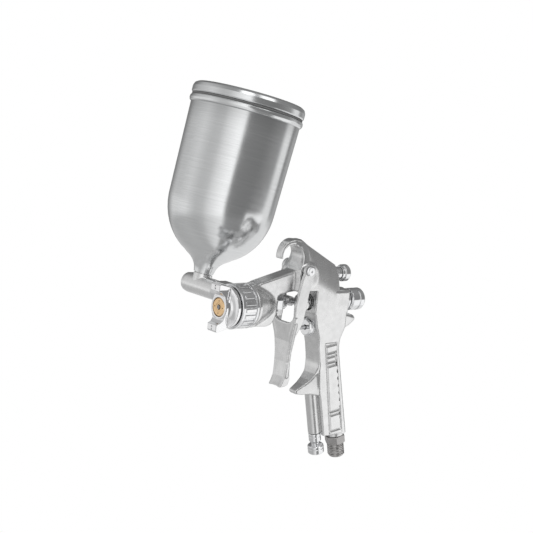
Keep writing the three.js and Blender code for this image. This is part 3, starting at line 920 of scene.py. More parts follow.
@dataclass(frozen=True)
class Finish:
    """One metal, rubber or plastic finish.

    Attributes:
        name: Name of the finish.
        colour: Its colour.
        worn: Its colour on rubbed corners.
        roughness: Middle of its roughness.
        spread: How far smears move the roughness.
        metallic: Share of metal.
        surface: How the face was worked.
        depth: Height of the grain or lines, in millimetres.
        scale: Grain or lines for each metre.
        crease_shade_depth: How much painted shade darkens the inner corners.
    """

    name: str
    colour: tuple[float, float, float]
    worn: tuple[float, float, float]
    roughness: float
    spread: float
    metallic: float = 1.0
    surface: Surface = Surface.TURNED
    depth: float = 0.002
    scale: float = 3000.0
    crease_shade_depth: float = 0.62

    def on(self, axis: Axis | None = None) -> bpy.types.Material:
        """Builds the finish for pieces on one axis, or gives it back if it is made already.

        Args:
            axis: The centre line that turning lines run round.

        Returns:
            The material.
        """
        name = self.name if axis is None else f"{self.name}_{axis.name.lower()}"
        known = bpy.data.materials.get(name)
        if known is not None:
            return known
        material = bpy.data.materials.new(name)
        material.use_nodes = True
        graph = Graph(material.node_tree)
        material.node_tree.nodes.clear()
        place = graph.add("ShaderNodeTexCoord").outputs["Object"]
        height, tone = self._relief(graph, place, axis)
        marks = graph.add("ShaderNodeGroup", node_tree=EFFECTS.handling())
        graph.tree.links.new(place, marks.inputs["Vector"])
        wear_and_shade = graph.add("ShaderNodeGroup", node_tree=EFFECTS.rubbed_edges_and_crease_shade())
        graph.tree.links.new(place, wear_and_shade.inputs["Vector"])
        shade = graph.add("ShaderNodeMapRange", {0: tone, 1: 0.3, 2: 0.7, 3: 0.93, 4: 1.04}).outputs[0]
        toned = graph.add(
            "ShaderNodeMix", {0: 1.0, 6: (*self.colour, 1.0), 7: shade}, data_type="RGBA",
            blend_type="MULTIPLY"
        ).outputs[2]
        rubbed = graph.add(
            "ShaderNodeMix", {0: wear_and_shade.outputs["Mask"], 6: toned, 7: (*self.worn, 1.0)}, data_type="RGBA"
        ).outputs[2]
        # Painted shade: the colour is darkened in the inner corners, as shade would fall there.
        crease_shading = graph.math("SUBTRACT", 1.0, graph.math("MULTIPLY", wear_and_shade.outputs["Cavity"], self.crease_shade_depth))
        colour = graph.add(
            "ShaderNodeMix", {0: 1.0, 6: rubbed, 7: crease_shading}, data_type="RGBA", blend_type="MULTIPLY"
        ).outputs[2]
        smear = graph.add(
            "ShaderNodeMapRange",
            {
                0: marks.outputs["Smears"], 1: 0.3, 2: 0.7, 3: self.roughness - self.spread,
                4: self.roughness + self.spread
            },
        ).outputs[0]
        rough = graph.math("ADD", smear, graph.math("MULTIPLY", marks.outputs["Scratches"], 0.05))
        relief = graph.add(
            "ShaderNodeBump", {"Height": height, "Strength": 1.0, "Distance": self.depth * MM}
        ).outputs[0]
        shader = graph.add(
            "ShaderNodeBsdfPrincipled",
            {"Base Color": colour, "Roughness": rough, "Metallic": self.metallic, "Normal": relief},
        )
        graph.add("ShaderNodeOutputMaterial", {"Surface": shader.outputs[0]})
        return material

    def _relief(
        self, graph: Graph, place: bpy.types.NodeSocket, axis: Axis | None
    ) -> tuple[bpy.types.NodeSocket, bpy.types.NodeSocket]:
        """Adds the grain or the turning lines.

        Args:
            graph: The material's graph.
            place: Object coordinates.
            axis: The centre line of the piece, or nothing for a casting.

        Returns:
            The height and the tone.
        """
        if self.surface is Surface.CAST or axis is None:
            group = graph.add("ShaderNodeGroup", node_tree=EFFECTS.grain())
            graph.tree.links.new(place, group.inputs["Vector"])
            group.inputs["Grain Scale"].default_value = self.scale
            return group.outputs["Height"], group.outputs["Tone"]
        placing = axis.matrix()
        centred = graph.add(
            "ShaderNodeMapping",
            {"Vector": place, "Location": placing.to_translation(), "Rotation": placing.to_euler()},
            vector_type="TEXTURE",
        )
        group = graph.add("ShaderNodeGroup", node_tree=EFFECTS.turning())
        graph.tree.links.new(centred.outputs[0], group.inputs["Vector"])
        group.inputs["Line Scale"].default_value = self.scale
        return group.outputs["Height"], group.outputs["Lines"]


CAST_ALUMINIUM = Finish(
    "cast_aluminium", (0.80, 0.80, 0.80), (0.90, 0.90, 0.90), 0.27, 0.05, surface=Surface.CAST,
    depth=0.012, scale=1900.0
)
CHROME = Finish("chrome", (0.84, 0.845, 0.855), (0.90, 0.90, 0.90), 0.11, 0.03, depth=0.0005, scale=4200.0)
SPUN_ALUMINIUM = Finish(
    "spun_aluminium", (0.80, 0.81, 0.815), (0.88, 0.88, 0.88), 0.19, 0.03, depth=0.0015, scale=2400.0
)
SATIN_ALUMINIUM = Finish(
    "satin_aluminium", (0.92, 0.92, 0.92), (0.95, 0.95, 0.95), 0.27, 0.04, depth=0.0015, scale=2400.0
)
GROUND_STEEL = Finish(
    "ground_steel", (0.56, 0.56, 0.57), (0.72, 0.72, 0.72), 0.22, 0.05, depth=0.002, scale=5200.0
)
DULL_STEEL = Finish(
    "dull_steel", (0.44, 0.43, 0.425), (0.62, 0.61, 0.60), 0.34, 0.07, depth=0.006, scale=3600.0
)
TURNED_BRASS = Finish(
    "turned_brass", (0.92, 0.64, 0.36), (0.97, 0.78, 0.52), 0.24, 0.05, depth=0.003, scale=4600.0
)
WHITE_SEAL = Finish(
    "white_seal", (0.80, 0.79, 0.75), (0.85, 0.84, 0.80), 0.62, 0.06, 0.0, depth=0.004, scale=2500.0
)
GREY_RUBBER = Finish(
    "grey_rubber", (0.26, 0.26, 0.26), (0.26, 0.26, 0.26), 0.72, 0.06, 0.0, depth=0.01, scale=2200.0
)


def fit(piece: bpy.types.Object, body: str, slot: str, *nodes: str) -> None:
    """Puts a finished piece on its body and in the place of its frame nodes.

    Args:
        piece: The finished object.
        body: Name of the body that it rides on.
        slot: Name of the material slot; not used.
        *nodes: Frame nodes that it stands for.
    """
    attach(piece, body)
    if nodes:
        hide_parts(*nodes)
    LOG.info("%s: %d faces, rides on %s", piece.name, len(piece.data.polygons), body)


def wound(
    name: str, finish: Finish, axis: Axis, span: tuple[float, float], values: dict[str, object]
) -> bpy.types.Object:
    """Winds a wire up a centre line.

    Args:
        name: Name of the piece.
        finish: Its finish.
        axis: The centre line.
        span: Where it starts and ends on the line, in millimetres.
        values: The coil's other inputs.

    Returns:
        The finished object.
    """
    start = bpy.data.meshes.new(f"{name}_start")
    start.from_pydata([(0.0, 0.0, 0.0)], [], [])
    low, high = span
    inputs = {"Rise": (high - low) * MM, "Finish": finish.on(axis), **values}
    piece = RECIPES.cook(RECIPES.coil(), name, start, axis, inputs)
    piece.data.transform(Matrix.Translation(Vector(axis.value[1]) * low * MM))
    return piece


Row = tuple[Turning, Finish, str, str, str]


class TurnedPieces:
    """A sub-assembly whose turned pieces are made from a list."""

    def turnings(self) -> list[Row]:
        """Lists the turned pieces with their finish, body, slot and frame node."""
        return []

    def build(self) -> None:
        """Makes and dresses every turned piece."""
        for turning, finish, body, slot, node in self.turnings():
            fit(turning.make(finish.on(turning.axis)), body, slot, *filter(None, [node]))


# ------------------------------------------------------------------ the cast pieces


def line_distance(u: Array, v: Array, line: Outline) -> Array:
    """Measures the distance to an open line in a plane.

    Args:
        u: First coordinate of the points.
        v: Second coordinate of the points.
        line: Corners of the line in order.

    Returns:
        Distance in millimetres.
    """
    nearest = None
    for (u0, v0), (u1, v1) in zip(line, line[1:]):
        eu, ev = u1 - u0, v1 - v0
        share = np.clip(((u - u0) * eu + (v - v0) * ev) / (eu * eu + ev * ev), 0.0, 1.0)
        gap = np.hypot(u - u0 - eu * share, v - v0 - ev * share)
        nearest = gap if nearest is None else np.minimum(nearest, gap)
    return nearest


@dataclass
class GripPanel:
    """The framed panels on both sides of the handle, with crossing bars and notches at the rear.

    Attributes:
        top: Half distance between the outer faces of the two panels.
        step: Size of a face of the skin.
        groove: Depth and half width of the lines.
        notch: Radius of the notches at the rear.
        seat: Depth of a panel in its pocket.
        pitch: Spacing of the notches and scallops.
        outline: Corners of a panel as (x, z).
    """

    top: float = 8.42
    step: float = 0.3
    groove: float = 1.1
    notch: float = 1.9
    seat: ClassVar[float] = 2.0
    pitch: ClassVar[float] = 5.9
    outline: ClassVar[Outline] = (
        (99.6, -31.4), (111.8, -31.0), (113.2, -40.5), (119.2, -67.2), (124.4, -87.8), (128.0, -103.9),
        (114.6, -104.3),
    )

    @classmethod
    def notch_places(cls, start: float, count: int) -> list[tuple[float, float]]:
        """Lists the centres of the notches down the back.

        Args:
            start: Place of the first towards the rear.
            count: How many there are.

        Returns:
            Places as (x, z).
        """
        over, down = cls.pitch * math.sin(HANDLE_SWEEP), cls.pitch * math.cos(HANDLE_SWEEP)
        return [(start + i * over, -48.0 - i * down) for i in range(count)]

    def lines(self, x: Array, z: Array) -> Array:
        """Measures the distance to the nearest frame line.

        Args:
            x: Sample places towards the rear.
            z: Sample places up.

        Returns:
            Distance in millimetres.
        """
        top, long, tilt, slope = -33.6, 11.2, 0.14, 14.5 / 69.3
        bars = ((top, 0.0), (-41.0, 1.5), (-48.2, 1.5), (-87.6, 1.5), (-101.6, 0.0))
        drawn = [
            [(100.9, top), (115.4, -102.9)], [(111.6, -40.0), (113.4, -47.0)],
            [(123.2, -86.4), (126.6, -100.2)]
        ]
        for height, half in bars:
            for level in sorted({height - half, height + half}):
                start = 100.9 + (top - level) * slope
                drawn.append([(start, level - 0.4), (start + long, level - 0.4 + long * tilt)])
        gap = line_distance(x, z, drawn[0])
        for line in drawn[1:]:
            gap = np.minimum(gap, line_distance(x, z, line))
        return gap

    def solid(self, x: Array, y: Array, z: Array) -> Array:
        """Field of both panels.

        Args:
            x: Sample places towards the rear.
            y: Sample places across.
            z: Sample places up.

        Returns:
            Signed distance in millimetres.
        """
        sunk = np.maximum(self.groove - self.lines(x, z), 0.0)
        rim = outline_distance(x, z, self.outline) + 0.06
        for over, down in self.notch_places(115.4, 8):
            rim = np.maximum(rim, self.notch - np.hypot(x - over, z - down))
        plate = rounded_and(rim, np.abs(y) - self.top + sunk, 0.25)
        return np.maximum(plate, self.top - self.seat - np.abs(y))

    def build(self) -> None:
        """Skins and dresses the panel of each side."""
        for name, low, high in (("grip_panel_near", -9.4, -6.4), ("grip_panel_far", 6.4, 9.4)):
            points, quads = Casting((98.2, low, -105.6), (129.6, high, -29.8), self.step).skin(self.solid)
            panel = mesh_of(name, points, quads)
            panel.data.materials.append(CAST_ALUMINIUM.on())
            fit(panel, "gun", "cast_body")


@dataclass
class Body:
    """The cast gun body: head, web, hook, trigger housing, handle and air tube in one piece.

    Attributes:
        step: Size of a face of the skin.
        web_half: Half thickness of the plate behind the head.
        body_half: Half thickness of the trigger housing.
        grip_half: Half thickness of the handle.
        ridge_angle: Fall of the back ridge towards the rear.
        ridge_half: Half width of the flat along the ridge.
        facet: Fall and spread of the planed faces beside the ridge.
        shoulder: Radius where those faces meet the sides.
        low: Lowest corner of the block that holds the casting.
        high: Highest corner of that block.
    """

    step: float = 0.68
    web_half: float = 6.0
    body_half: float = 10.0
    grip_half: float = 8.3
    ridge_angle: float = math.radians(27.7)
    ridge_half: float = 3.2
    facet: tuple[float, float] = (12.6, 6.8)
    shoulder: float = 5.0
    low: tuple[float, float, float] = (12.6, -17.0, -108.6)
    high: tuple[float, float, float] = (134.6, 17.0, 49.6)

    def head(self, x: Array, y: Array, z: Array) -> Array:
        """Field of the round head that the cap screws onto.

        Args:
            x: Sample places towards the rear.
            y: Sample places across.
            z: Sample places up.

        Returns:
            Signed distance in millimetres.
        """
        profile = [
            (14.3, 12.4), (24.9, 12.4), (24.9, 15.9), (27.4, 15.9), (30.6, 14.6), (34.9, 12.9), (38.6, 11.3),
            (41.6, 9.8), (44.6, 8.0), (47.0, 6.2), (48.6, 4.0), (49.3, 2.0), (49.4, 0.0), (14.3, 0.0),
        ]
        return turned(x, np.hypot(y, z), profile)

    def web(self, x: Array, y: Array, z: Array) -> Array:
        """Field of the plate between the head and the trigger housing.

        Args:
            x: Sample places towards the rear.
            y: Sample places across.
            z: Sample places up.

        Returns:
            Signed distance in millimetres.
        """
        outline = [
            (27.0, -14.6), (41.0, -15.4), (45.6, -14.0), (48.2, -10.6), (49.8, -7.0), (49.9, 6.6),
            (52.4, 8.0), (56.0, 8.6), (68.0, 10.2), (68.0, 25.9), (33.0, 17.2), (27.0, 14.9),
        ]
        return slab(x, y, z, outline, self.web_half, 0.9)

    def hook(self, x: Array, y: Array, z: Array) -> Array:
        """Field of the hanging hook, which thins towards its tip.

        Args:
            x: Sample places towards the rear.
            y: Sample places across.
            z: Sample places up.

        Returns:
            Signed distance in millimetres.
        """
        outer = arc_points(63.0, 36.0, 12.0, 190, 0, 22)
        inner = arc_points(61.6, 36.0, 8.2, 0, 196, 22)
        outline = [*outer, (75.0, 26.0), (69.8, 26.0), *inner]
        half = np.interp(x, [49, 53, 60, 70, 76], [3.0, 3.5, 4.5, 6.4, 7.6])
        return slab(x, y, z, outline, half, 1.3)

    def housing(self, x: Array, y: Array, z: Array) -> Array:
        """Field of the trigger housing, whose top is planed to a narrow ridge.

        Args:
            x: Sample places towards the rear.
            y: Sample places across.
            z: Sample places up.

        Returns:
            Signed distance in millimetres.
        """
        outline = [
            (65.4, 9.9), (84.6, 9.9), (84.6, -8.0), (108.0, -8.0), (108.0, 24.5), (105.5, 28.2), (69.0, 47.4),
            *arc_points(61.6, 36.0, 8.2, 62, -12, 8), (68.4, 31.0), (65.4, 26.2),
        ]
        rise = (z - 47.4) * math.cos(self.ridge_angle) + (x - 69.0) * math.sin(self.ridge_angle)
        fall, spread = self.facet
        facet = ((np.abs(y) - self.ridge_half) * fall + (rise - 0.4) * spread) / math.hypot(fall, spread)
        shoulder = rounded_and(np.abs(y) - self.body_half, facet, self.shoulder)
        return rounded_and(outline_distance(x, z, outline), shoulder, 0.9)

    def pivot_boss(self, x: Array, y: Array, z: Array) -> Array:
        """Field of the round boss that the trigger hangs on."""
        return bar(y, x - 74.6, z - 21.6, 9.6, -self.body_half, self.body_half, 0.7)

    def rear_bosses(self, x: Array, y: Array, z: Array) -> Array:
        """Field of the bosses round the needle guide and the pattern valve.

        Args:
            x: Sample places towards the rear.
            y: Sample places across.
            z: Sample places up.

        Returns:
            Signed distance in millimetres.
        """
        guide = bar(x, y, z, 9.8, 92.0, 119.0, 0.8)
        block = slab(x, y, z, [(103, -10.0), (119, -8.6), (119, 9.4), (103, 9.4)], self.body_half, 2.2)
        pattern = bar(x, y, z - 20.8, 5.4, 96.0, 109.6, 0.6)
        return np.minimum(np.minimum(guide, block), pattern)

    def handle(self, x: Array, y: Array, z: Array) -> Array:
        """Field of the handle, flat at the sides and rounded at the back.

        Args:
            x: Sample places towards the rear.
            y: Sample places across.
            z: Sample places up.

        Returns:
            Signed distance in millimetres.
        """
        front = [
            (84.9, 3.0), (84.9, -5.0), (85.4, -8.6), (88.0, -18.0), (92.2, -27.0), (95.6, -43.0),
            (97.4, -56.0), (100.6, -72.0), (109.0, -105.2), (150.0, -105.5), (150.0, 3.0),
        ]
        back = [
            (60.0, 3.0), (119.0, 3.0), (119.0, -19.0), (116.2, -28.0), (116.6, -36.0), (117.8, -42.0),
            (134.1, -105.6), (134.1, -112.0), (60.0, -112.0),
        ]
        half = np.interp(z, [-33.0, -22.0], [self.grip_half, self.body_half])
        sides = slab(x, y, z, front, half, 1.1)
        rounding = 3.6
        shaped = rounded_and(sides, outline_distance(x, z, back), rounding)
        bottom = -(z + 105.4)
        return rounded_and(shaped, bottom, 0.6)

    def tang(self, x: Array, y: Array, z: Array) -> Array:
        """Field of the horn that stops the hand from riding up.

        Args:
            x: Sample places towards the rear.
            y: Sample places across.
            z: Sample places up.

        Returns:
            Signed distance in millimetres.
        """
        outline = [
            (108.0, -8.2), (119.0, -9.4), (125.0, -10.2), (131.2, -12.2), (133.0, -14.2), (132.4, -16.6),
            (128.0, -19.8), (121.4, -22.8), (116.5, -28.0), (108.0, -28.0),
        ]
        half = np.interp(x, [112, 120, 133], [7.0, 5.0, 4.4])
        return slab(x, y, z, outline, half, 3.0)

    def finger_prong(self, x: Array, y: Array, z: Array) -> Array:
        """Field of the finger rest that reaches forwards from the handle.

        Args:
            x: Sample places towards the rear.
            y: Sample places across.
            z: Sample places up.

        Returns:
            Signed distance in millimetres.
        """
        outline = [
            (99.0, -44.0), (96.6, -50.0), (94.4, -55.4), (90.6, -59.8), (86.0, -63.2), (81.0, -66.2),
            (78.8, -67.6), (78.6, -69.0),
            (80.4, -70.6), (85.0, -71.2), (92.0, -70.8), (101.5, -72.6), (101.5, -50.0),
        ]
        half = np.interp(x, [79.0, 86.0, 93.0, 98.0], [3.9, 5.0, 6.6, 7.8])
        return slab(x, y, z, outline, half, 1.2)

    def air_tube(self, x: Array, y: Array, z: Array) -> tuple[Array, Array]:
        """Fields of the tube down the front of the handle and of the boss round the air inlet.

        Args:
            x: Sample places towards the rear.
            y: Sample places across.
            z: Sample places up.

        Returns:
            Signed distance to the tube and to the boss, in millimetres.
        """
        along, across = slanted(Axis.TUBE, x, z)
        tube = bar(along, across, y, 4.9, -41.2, 0.0, 0.5)
        along, across = slanted(Axis.INLET, x, z)
        boss = bar(along, across, y, 7.6, -14.0, 1.6, 0.6)
        return tube, boss

    def side_panels(self, x: Array, y: Array, z: Array) -> Array:
        """Field of the shallow pockets that the grip panels sit in.

        Args:
            x: Sample places towards the rear.
            y: Sample places across.
            z: Sample places up.

        Returns:
            Signed distance in millimetres.
        """
        return np.maximum(
            outline_distance(x, z, GripPanel.outline), self.grip_half - GripPanel.seat - np.abs(y)
        )

    def scallops(self, x: Array, y: Array, z: Array) -> Array:
        """Field of the row of finger scallops down the back of the handle.

        Args:
            x: Sample places towards the rear.
            y: Sample places across.
            z: Sample places up.

        Returns:
            Signed distance in millimetres.
        """
        cut = None
        for over, down in GripPanel.notch_places(122.2, 8):
            hollow = np.hypot(x - over, z - down) - 3.4
            cut = hollow if cut is None else np.minimum(cut, hollow)
        return cut

    def passages(self, x: Array, y: Array, z: Array) -> Array:
        """Field of every bore: fluid, air, needle, valve and control.

        Args:
            x: Sample places towards the rear.
            y: Sample places across.
            z: Sample places up.

        Returns:
            Signed distance in millimetres.
        """
        barrel = [
            (10.0, 0.0), (10.0, 12.6), (18.0, 12.6), (18.0, 6.6), (31.0, 6.6), (31.0, 3.6),
            (45.6, 3.6), (45.6, 4.6),
            (60.0, 4.6), (60.0, 0.0),
        ]
        inlet_along, inlet_across = slanted(Axis.INLET, x, z)
        tube_along, tube_across = slanted(Axis.TUBE, x, z)
        bores = [
            turned(x, np.hypot(y, z), barrel),
            bar(y, x - 37.15, z, 5.2, 3.0, 40.0),
            bar(x, y, z, 6.4, 60.0, 130.0),
            bar(x, y, z + 19.6, 5.4, 80.0, 114.6),
            bar(x, y, z + 19.6, 7.8, 78.0, 88.5),
            bar(x, y, z - 20.8, 3.6, 84.0, 130.0),
            bar(y, x - 72.2, z - 26.0, 2.3, -20.0, 20.0),
            bar(inlet_along, inlet_across, y, 4.6, -84.0, 4.0),
            bar(tube_along, tube_across, y, 2.6, -30.0, 30.0),
            bar(tube_along, tube_across, y, 5.4, 0.0, 20.0),
        ]
        whole = bores[0]
        for bore in bores[1:]:
            whole = np.minimum(whole, bore)
        return whole

    def solid(self, x: Array, y: Array, z: Array) -> Array:
        """Field of the whole casting.

        Args:
            x: Sample places towards the rear.
            y: Sample places across.
            z: Sample places up.

        Returns:
            Signed distance in millimetres.
        """
        front = blended_or(self.head(x, y, z), self.web(x, y, z), 2.2)
        housing = blended_or(self.housing(x, y, z), self.pivot_boss(x, y, z), 1.0)
        housing = blended_or(housing, self.hook(x, y, z), 4.0)
        whole = blended_or(front, housing, 0.8)
        grip = blended_or(self.handle(x, y, z), self.tang(x, y, z), 3.0)
        whole = np.minimum(np.minimum(whole, grip), self.rear_bosses(x, y, z))
        whole = blended_cut(whole, self.scallops(x, y, z), 0.6)
        whole = np.maximum(whole, -self.side_panels(x, y, z))
        tube, boss = self.air_tube(x, y, z)
        whole = blended_or(whole, self.finger_prong(x, y, z), 2.4)
        whole = blended_or(blended_or(whole, tube, 0.7), boss, 0.8)
        return np.maximum(whole, -self.passages(x, y, z))

    def build(self) -> None:
        """Skins and dresses the casting."""
        points, quads = Casting(self.low, self.high, self.step).skin(self.solid)
        piece = mesh_of("gun_casting", points, quads)
        piece.data.materials.append(CAST_ALUMINIUM.on())
        fit(piece, "gun", "cast_body", "gun_body")


@dataclass
class Trigger(TurnedPieces):
    """The cast trigger: two arms that close in to one finger plate, its pivot pin and its screw.

    Attributes:
        step: Size of a face of the skin.
        wall: Half thickness of the arms and flanks.
        low: Lowest corner of the block that holds the casting.
        high: Highest corner of that block.
    """

    step: float = 0.5
    wall: float = 1.25
    low: tuple[float, float, float] = (58.6, -14.2, -63.6)
    high: tuple[float, float, float] = (79.0, 14.2, 32.6)

    def solid(self, x: Array, y: Array, z: Array) -> Array:
        """Field of the trigger.

        Args:
            x: Sample places towards the rear.
            y: Sample places across.
            z: Sample places up.

        Returns:
            Signed distance in millimetres.
        """
        side = [
            *arc_points(72.2, 26.0, 5.4, 200, 0, 12), (77.2, 23.4), (75.9, 19.0), (73.8, 10.0), (72.4, 0.0),
            (70.6, -12.5), (67.6, -24.0), (67.6, -44.0), (68.2, -51.0), (69.0, -57.0), (68.0, -61.2),
            (65.0, -62.6), (60.4, -62.4), (61.6, -60.0), (63.4, -56.0), (64.0, -44.0), (63.6, -28.0),
            (62.2, -14.0), (61.7, 0.0), (63.6, 10.0), (65.6, 19.6),
        ]
        reach = np.interp(z, [-63, -50, -36, -24, -16, -12, 40], [5.15, 5.5, 6.35, 8.5, 11.2, 12.05, 12.05])
        flank = rounded_and(
            outline_distance(x, z, side), np.abs(np.abs(y) - reach) - self.wall, 0.7
        )
        front = [
            (61.6, -9.0), (64.2, -9.0), (64.6, -16.0), (66.0, -28.0), (66.2, -44.0), (65.4, -55.0),
            (62.4, -62.4), (60.2, -62.4), (61.6, -60.0), (63.4, -55.0), (64.0, -44.0), (63.6, -28.0),
            (62.2, -15.0),
        ]
        opening = -(z + 13.6 - 3.4 * (np.abs(y) / 10.5) ** 4)
        plate = rounded_and(outline_distance(x, z, front), np.abs(y) - reach - self.wall, 0.7)
        plate = rounded_and(plate, -opening, 0.8)
        lug = bar(np.abs(y), x - 71.7, z, 3.6, 3.4, 12.4, 0.5)
        whole = blended_or(blended_or(flank, plate, 1.2), lug, 0.8)
        crease = line_distance(x, z, [(64.0, -14.0), (65.7, -28.0), (66.0, -44.0), (65.8, -55.0)])
        depth = np.maximum(1.5 - crease, 0.0)
        whole = np.maximum(whole, np.where(depth > 0, np.abs(y) - reach - self.wall + depth, -1.0))
        pin_hole = bar(y, x - 72.2, z - 26.0, 2.3, -20.0, 20.0)
        return np.maximum(whole, -pin_hole)

    def turnings(self) -> list[Row]:
        """Lists the pivot pin and the slotted screw.

        Returns:
            Each piece with its finish, body, slot and frame node.
        """
        pin = Turning("pivot_pin", Axis.PIVOT, [
            (0, -11.0), (2.0, -11.0), (2.0, 13.6, 0.1), (3.9, 13.6), (4.0, 14.1, 0.4),
            (3.1, 15.0, 0.5), (0, 15.0),
        ], closed=False, sides=48)
        screw = Turning("pivot_screw", Axis.PIVOT, [
            (0, -14.4), (0.6, -14.4), (0.8, -15.0), (3.1, -15.0, 0.5), (4.0, -14.1, 0.4), (3.9, -13.6),
            (2.0, -13.6, 0.1), (2.0, -11.4), (0, -11.4),
        ], closed=False, sides=48)
        return [
            (pin, CHROME, "trigger", "chrome", "trigger_pin"),
            (screw, CHROME, "trigger", "chrome", "trigger_screw")
        ]

    def build(self) -> None:
        """Skins and dresses the trigger, then makes its pin and screw."""
        points, quads = Casting(self.low, self.high, self.step).skin(self.solid)
        piece = mesh_of("trigger_casting", points, quads)
        piece.data.materials.append(CAST_ALUMINIUM.on())
        fit(piece, "trigger", "cast_body", "trigger")
        super().build()


@dataclass
class NozzleEnd(TurnedPieces):
    """Air cap with its horns and brass face, the knurled ring and the nozzle.

    Attributes:
        ribs: Raised ribs round the ring.
        cap_step: Size of a face of the air cap's skin.
        face_step: Size of a face of the brass face's skin.
    """

    ribs: int = 20
    cap_step: float = 0.36
    face_step: float = 0.16

    def cap(self, x: Array, y: Array, z: Array) -> Array:
        """Field of the air cap.

        Args:
            x: Sample places towards the rear.
            y: Sample places across.
            z: Sample places up.

        Returns:
            Signed distance in millimetres.
        """
        skirt = [
            (0.0, 0.0), (0.0, 8.2), (0.5, 8.5), (2.2, 8.7), (3.6, 9.3), (4.8, 10.6), (5.6, 12.4), (5.9, 13.9),
            (5.9, 15.0), (8.5, 15.0), (8.5, 12.4), (11.2, 12.4), (11.2, 14.2), (12.0, 14.2), (12.0, 0.0),
        ]
        radius = np.hypot(y, z)
        height = np.abs(z)
        bowl = turned(x, radius, skirt, 0.05)
        strip = [
            (8.2, 0.0), (0.0, 0.0), (0.0, 8.6), (-0.6, 9.2), (-2.2, 10.8), (-4.7, 11.9), (-4.8, 12.2),
            (-4.8, 16.4), (-4.2, 17.2), (-3.0, 17.5), (7.6, 14.8), (8.2, 14.4),
        ]
        width = np.interp(height, [0.0, 4.0, 8.0, 11.0, 13.0, 18.0], [8.3, 7.8, 6.3, 5.2, 4.8, 4.8])
        horns = rounded_and(outline_distance(x, height, strip), np.abs(y) - width, 0.5)
        whole = blended_or(bowl, horns, 0.8)
        hollow = turned(x, radius, [(0.8, 0.0), (3.4, 8.0), (12.0, 10.4), (20.0, 10.4), (20.0, 0.0)])
        eye = turned(x, radius, [(-4.0, 0.0), (-4.0, 6.9), (4.0, 6.9), (4.0, 0.0)])
        jets = None
        for jet_height in (13.3, 15.4):
            jet = np.hypot(y, (height - jet_height) * 0.82 + (x + 4.0) * 0.57) - 0.5
            jets = jet if jets is None else np.minimum(jets, jet)
        jets = np.maximum(jets, np.abs(x + 3.4) - 3.0)
        return np.maximum(np.maximum(whole, -hollow), -np.minimum(eye, jets))

    def face(self, x: Array, y: Array, z: Array) -> Array:
        """Field of the brass face with its ring gap and pin holes.

        Args:
            x: Sample places towards the rear.
            y: Sample places across.
            z: Sample places up.

        Returns:
            Signed distance in millimetres.
        """
        radius = np.hypot(y, z)
        disc = turned(x, radius, [
            (0.1, 1.95), (0.1, 2.9), (-0.1, 3.2), (-0.1, 6.0), (0.4, 6.5), (3.0, 6.5), (3.0, 1.95),
        ], 0.08)
        holes = np.minimum(np.hypot(np.abs(z) - 4.4, y), np.hypot(np.abs(y) - 4.4, z)) - 0.42
        return np.maximum(disc, -holes)

    def rib(self) -> bpy.types.Mesh:
        """Makes one rounded rib of the ring.

        Returns:
            Its mesh, in metres about the barrel axis.
        """
        work = bmesh.new()
        bmesh.ops.create_cube(work, size=1.0)
        bmesh.ops.scale(work, vec=(2.2, 3.0, 9.4), verts=work.verts)
        bmesh.ops.bevel(
            work, geom=work.edges[:], offset=0.35, segments=3, profile=0.5, affect="EDGES"
        )
        for vertex in work.verts:
            crown = vertex.co.y**2 / (2 * 16.3)
            vertex.co.x += 15.3 - crown
            vertex.co.z += 17.3
            vertex.co *= MM
        mesh = bpy.data.meshes.new("ring_rib")
        work.to_mesh(mesh)
        work.free()
        return mesh

    def turnings(self) -> list[Row]:
        """Lists the turned pieces.

        Returns:
            Each piece with its finish, body, slot and frame node.
        """
        ring = Turning("cap_ring", Axis.BARREL, [
            (12.7, 9.4), (15.9, 9.4, 0.4), (16.4, 9.9, 0.4), (16.4, 12.0, 0.25), (15.5, 12.5, 0.3),
            (15.5, 22.2, 0.3), (16.4, 22.6, 0.25), (16.4, 24.1, 0.3), (15.9, 24.6, 0.3), (14.6, 24.6),
            (14.6, 10.9), (12.7, 10.9),
        ], sides=160)
        nozzle = Turning("nozzle", Axis.BARREL, [
            (0.9, -0.5, 0.1), (1.4, -0.5, 0.15), (1.4, 3.2), (5.2, 9.0), (7.4, 9.4), (7.4, 17.6), (6.2, 17.6),
            (6.2, 30.6), (3.2, 30.6), (3.2, 8.0), (0.9, 3.0),
        ], sides=48)
        return [
            (ring, CHROME, "ring", "chrome", "air_cap_ring"),
            (nozzle, GROUND_STEEL, "gun", "steel", "fluid_nozzle"),
        ]

    def build(self) -> None:
        """Makes and dresses every piece of the nozzle end."""
        points, quads = Casting((-5.8, -16.2, -18.6), (12.8, 16.2, 18.6), self.cap_step).skin(self.cap)
        cap = mesh_of("air_cap_casting", points, quads)
        cap.data.materials.append(CHROME.on())
        fit(cap, "cap", "chrome", "air_cap")
        points, quads = Casting((-0.6, -7.2, -7.2), (3.6, 7.2, 7.2), self.face_step).skin(self.face)
        face = mesh_of("air_cap_face", points, quads)
        face.data.materials.append(TURNED_BRASS.on(Axis.BARREL))
        fit(face, "cap", "brass", "air_cap_plate")
        super().build()
        ribs = RECIPES.cook(
            RECIPES.ring_of(), "cap_ring_ribs", self.rib(), Axis.BARREL,
            {"Count": self.ribs, "Finish": CHROME.on(Axis.BARREL)},
        )
        fit(ribs, "ring", "chrome")


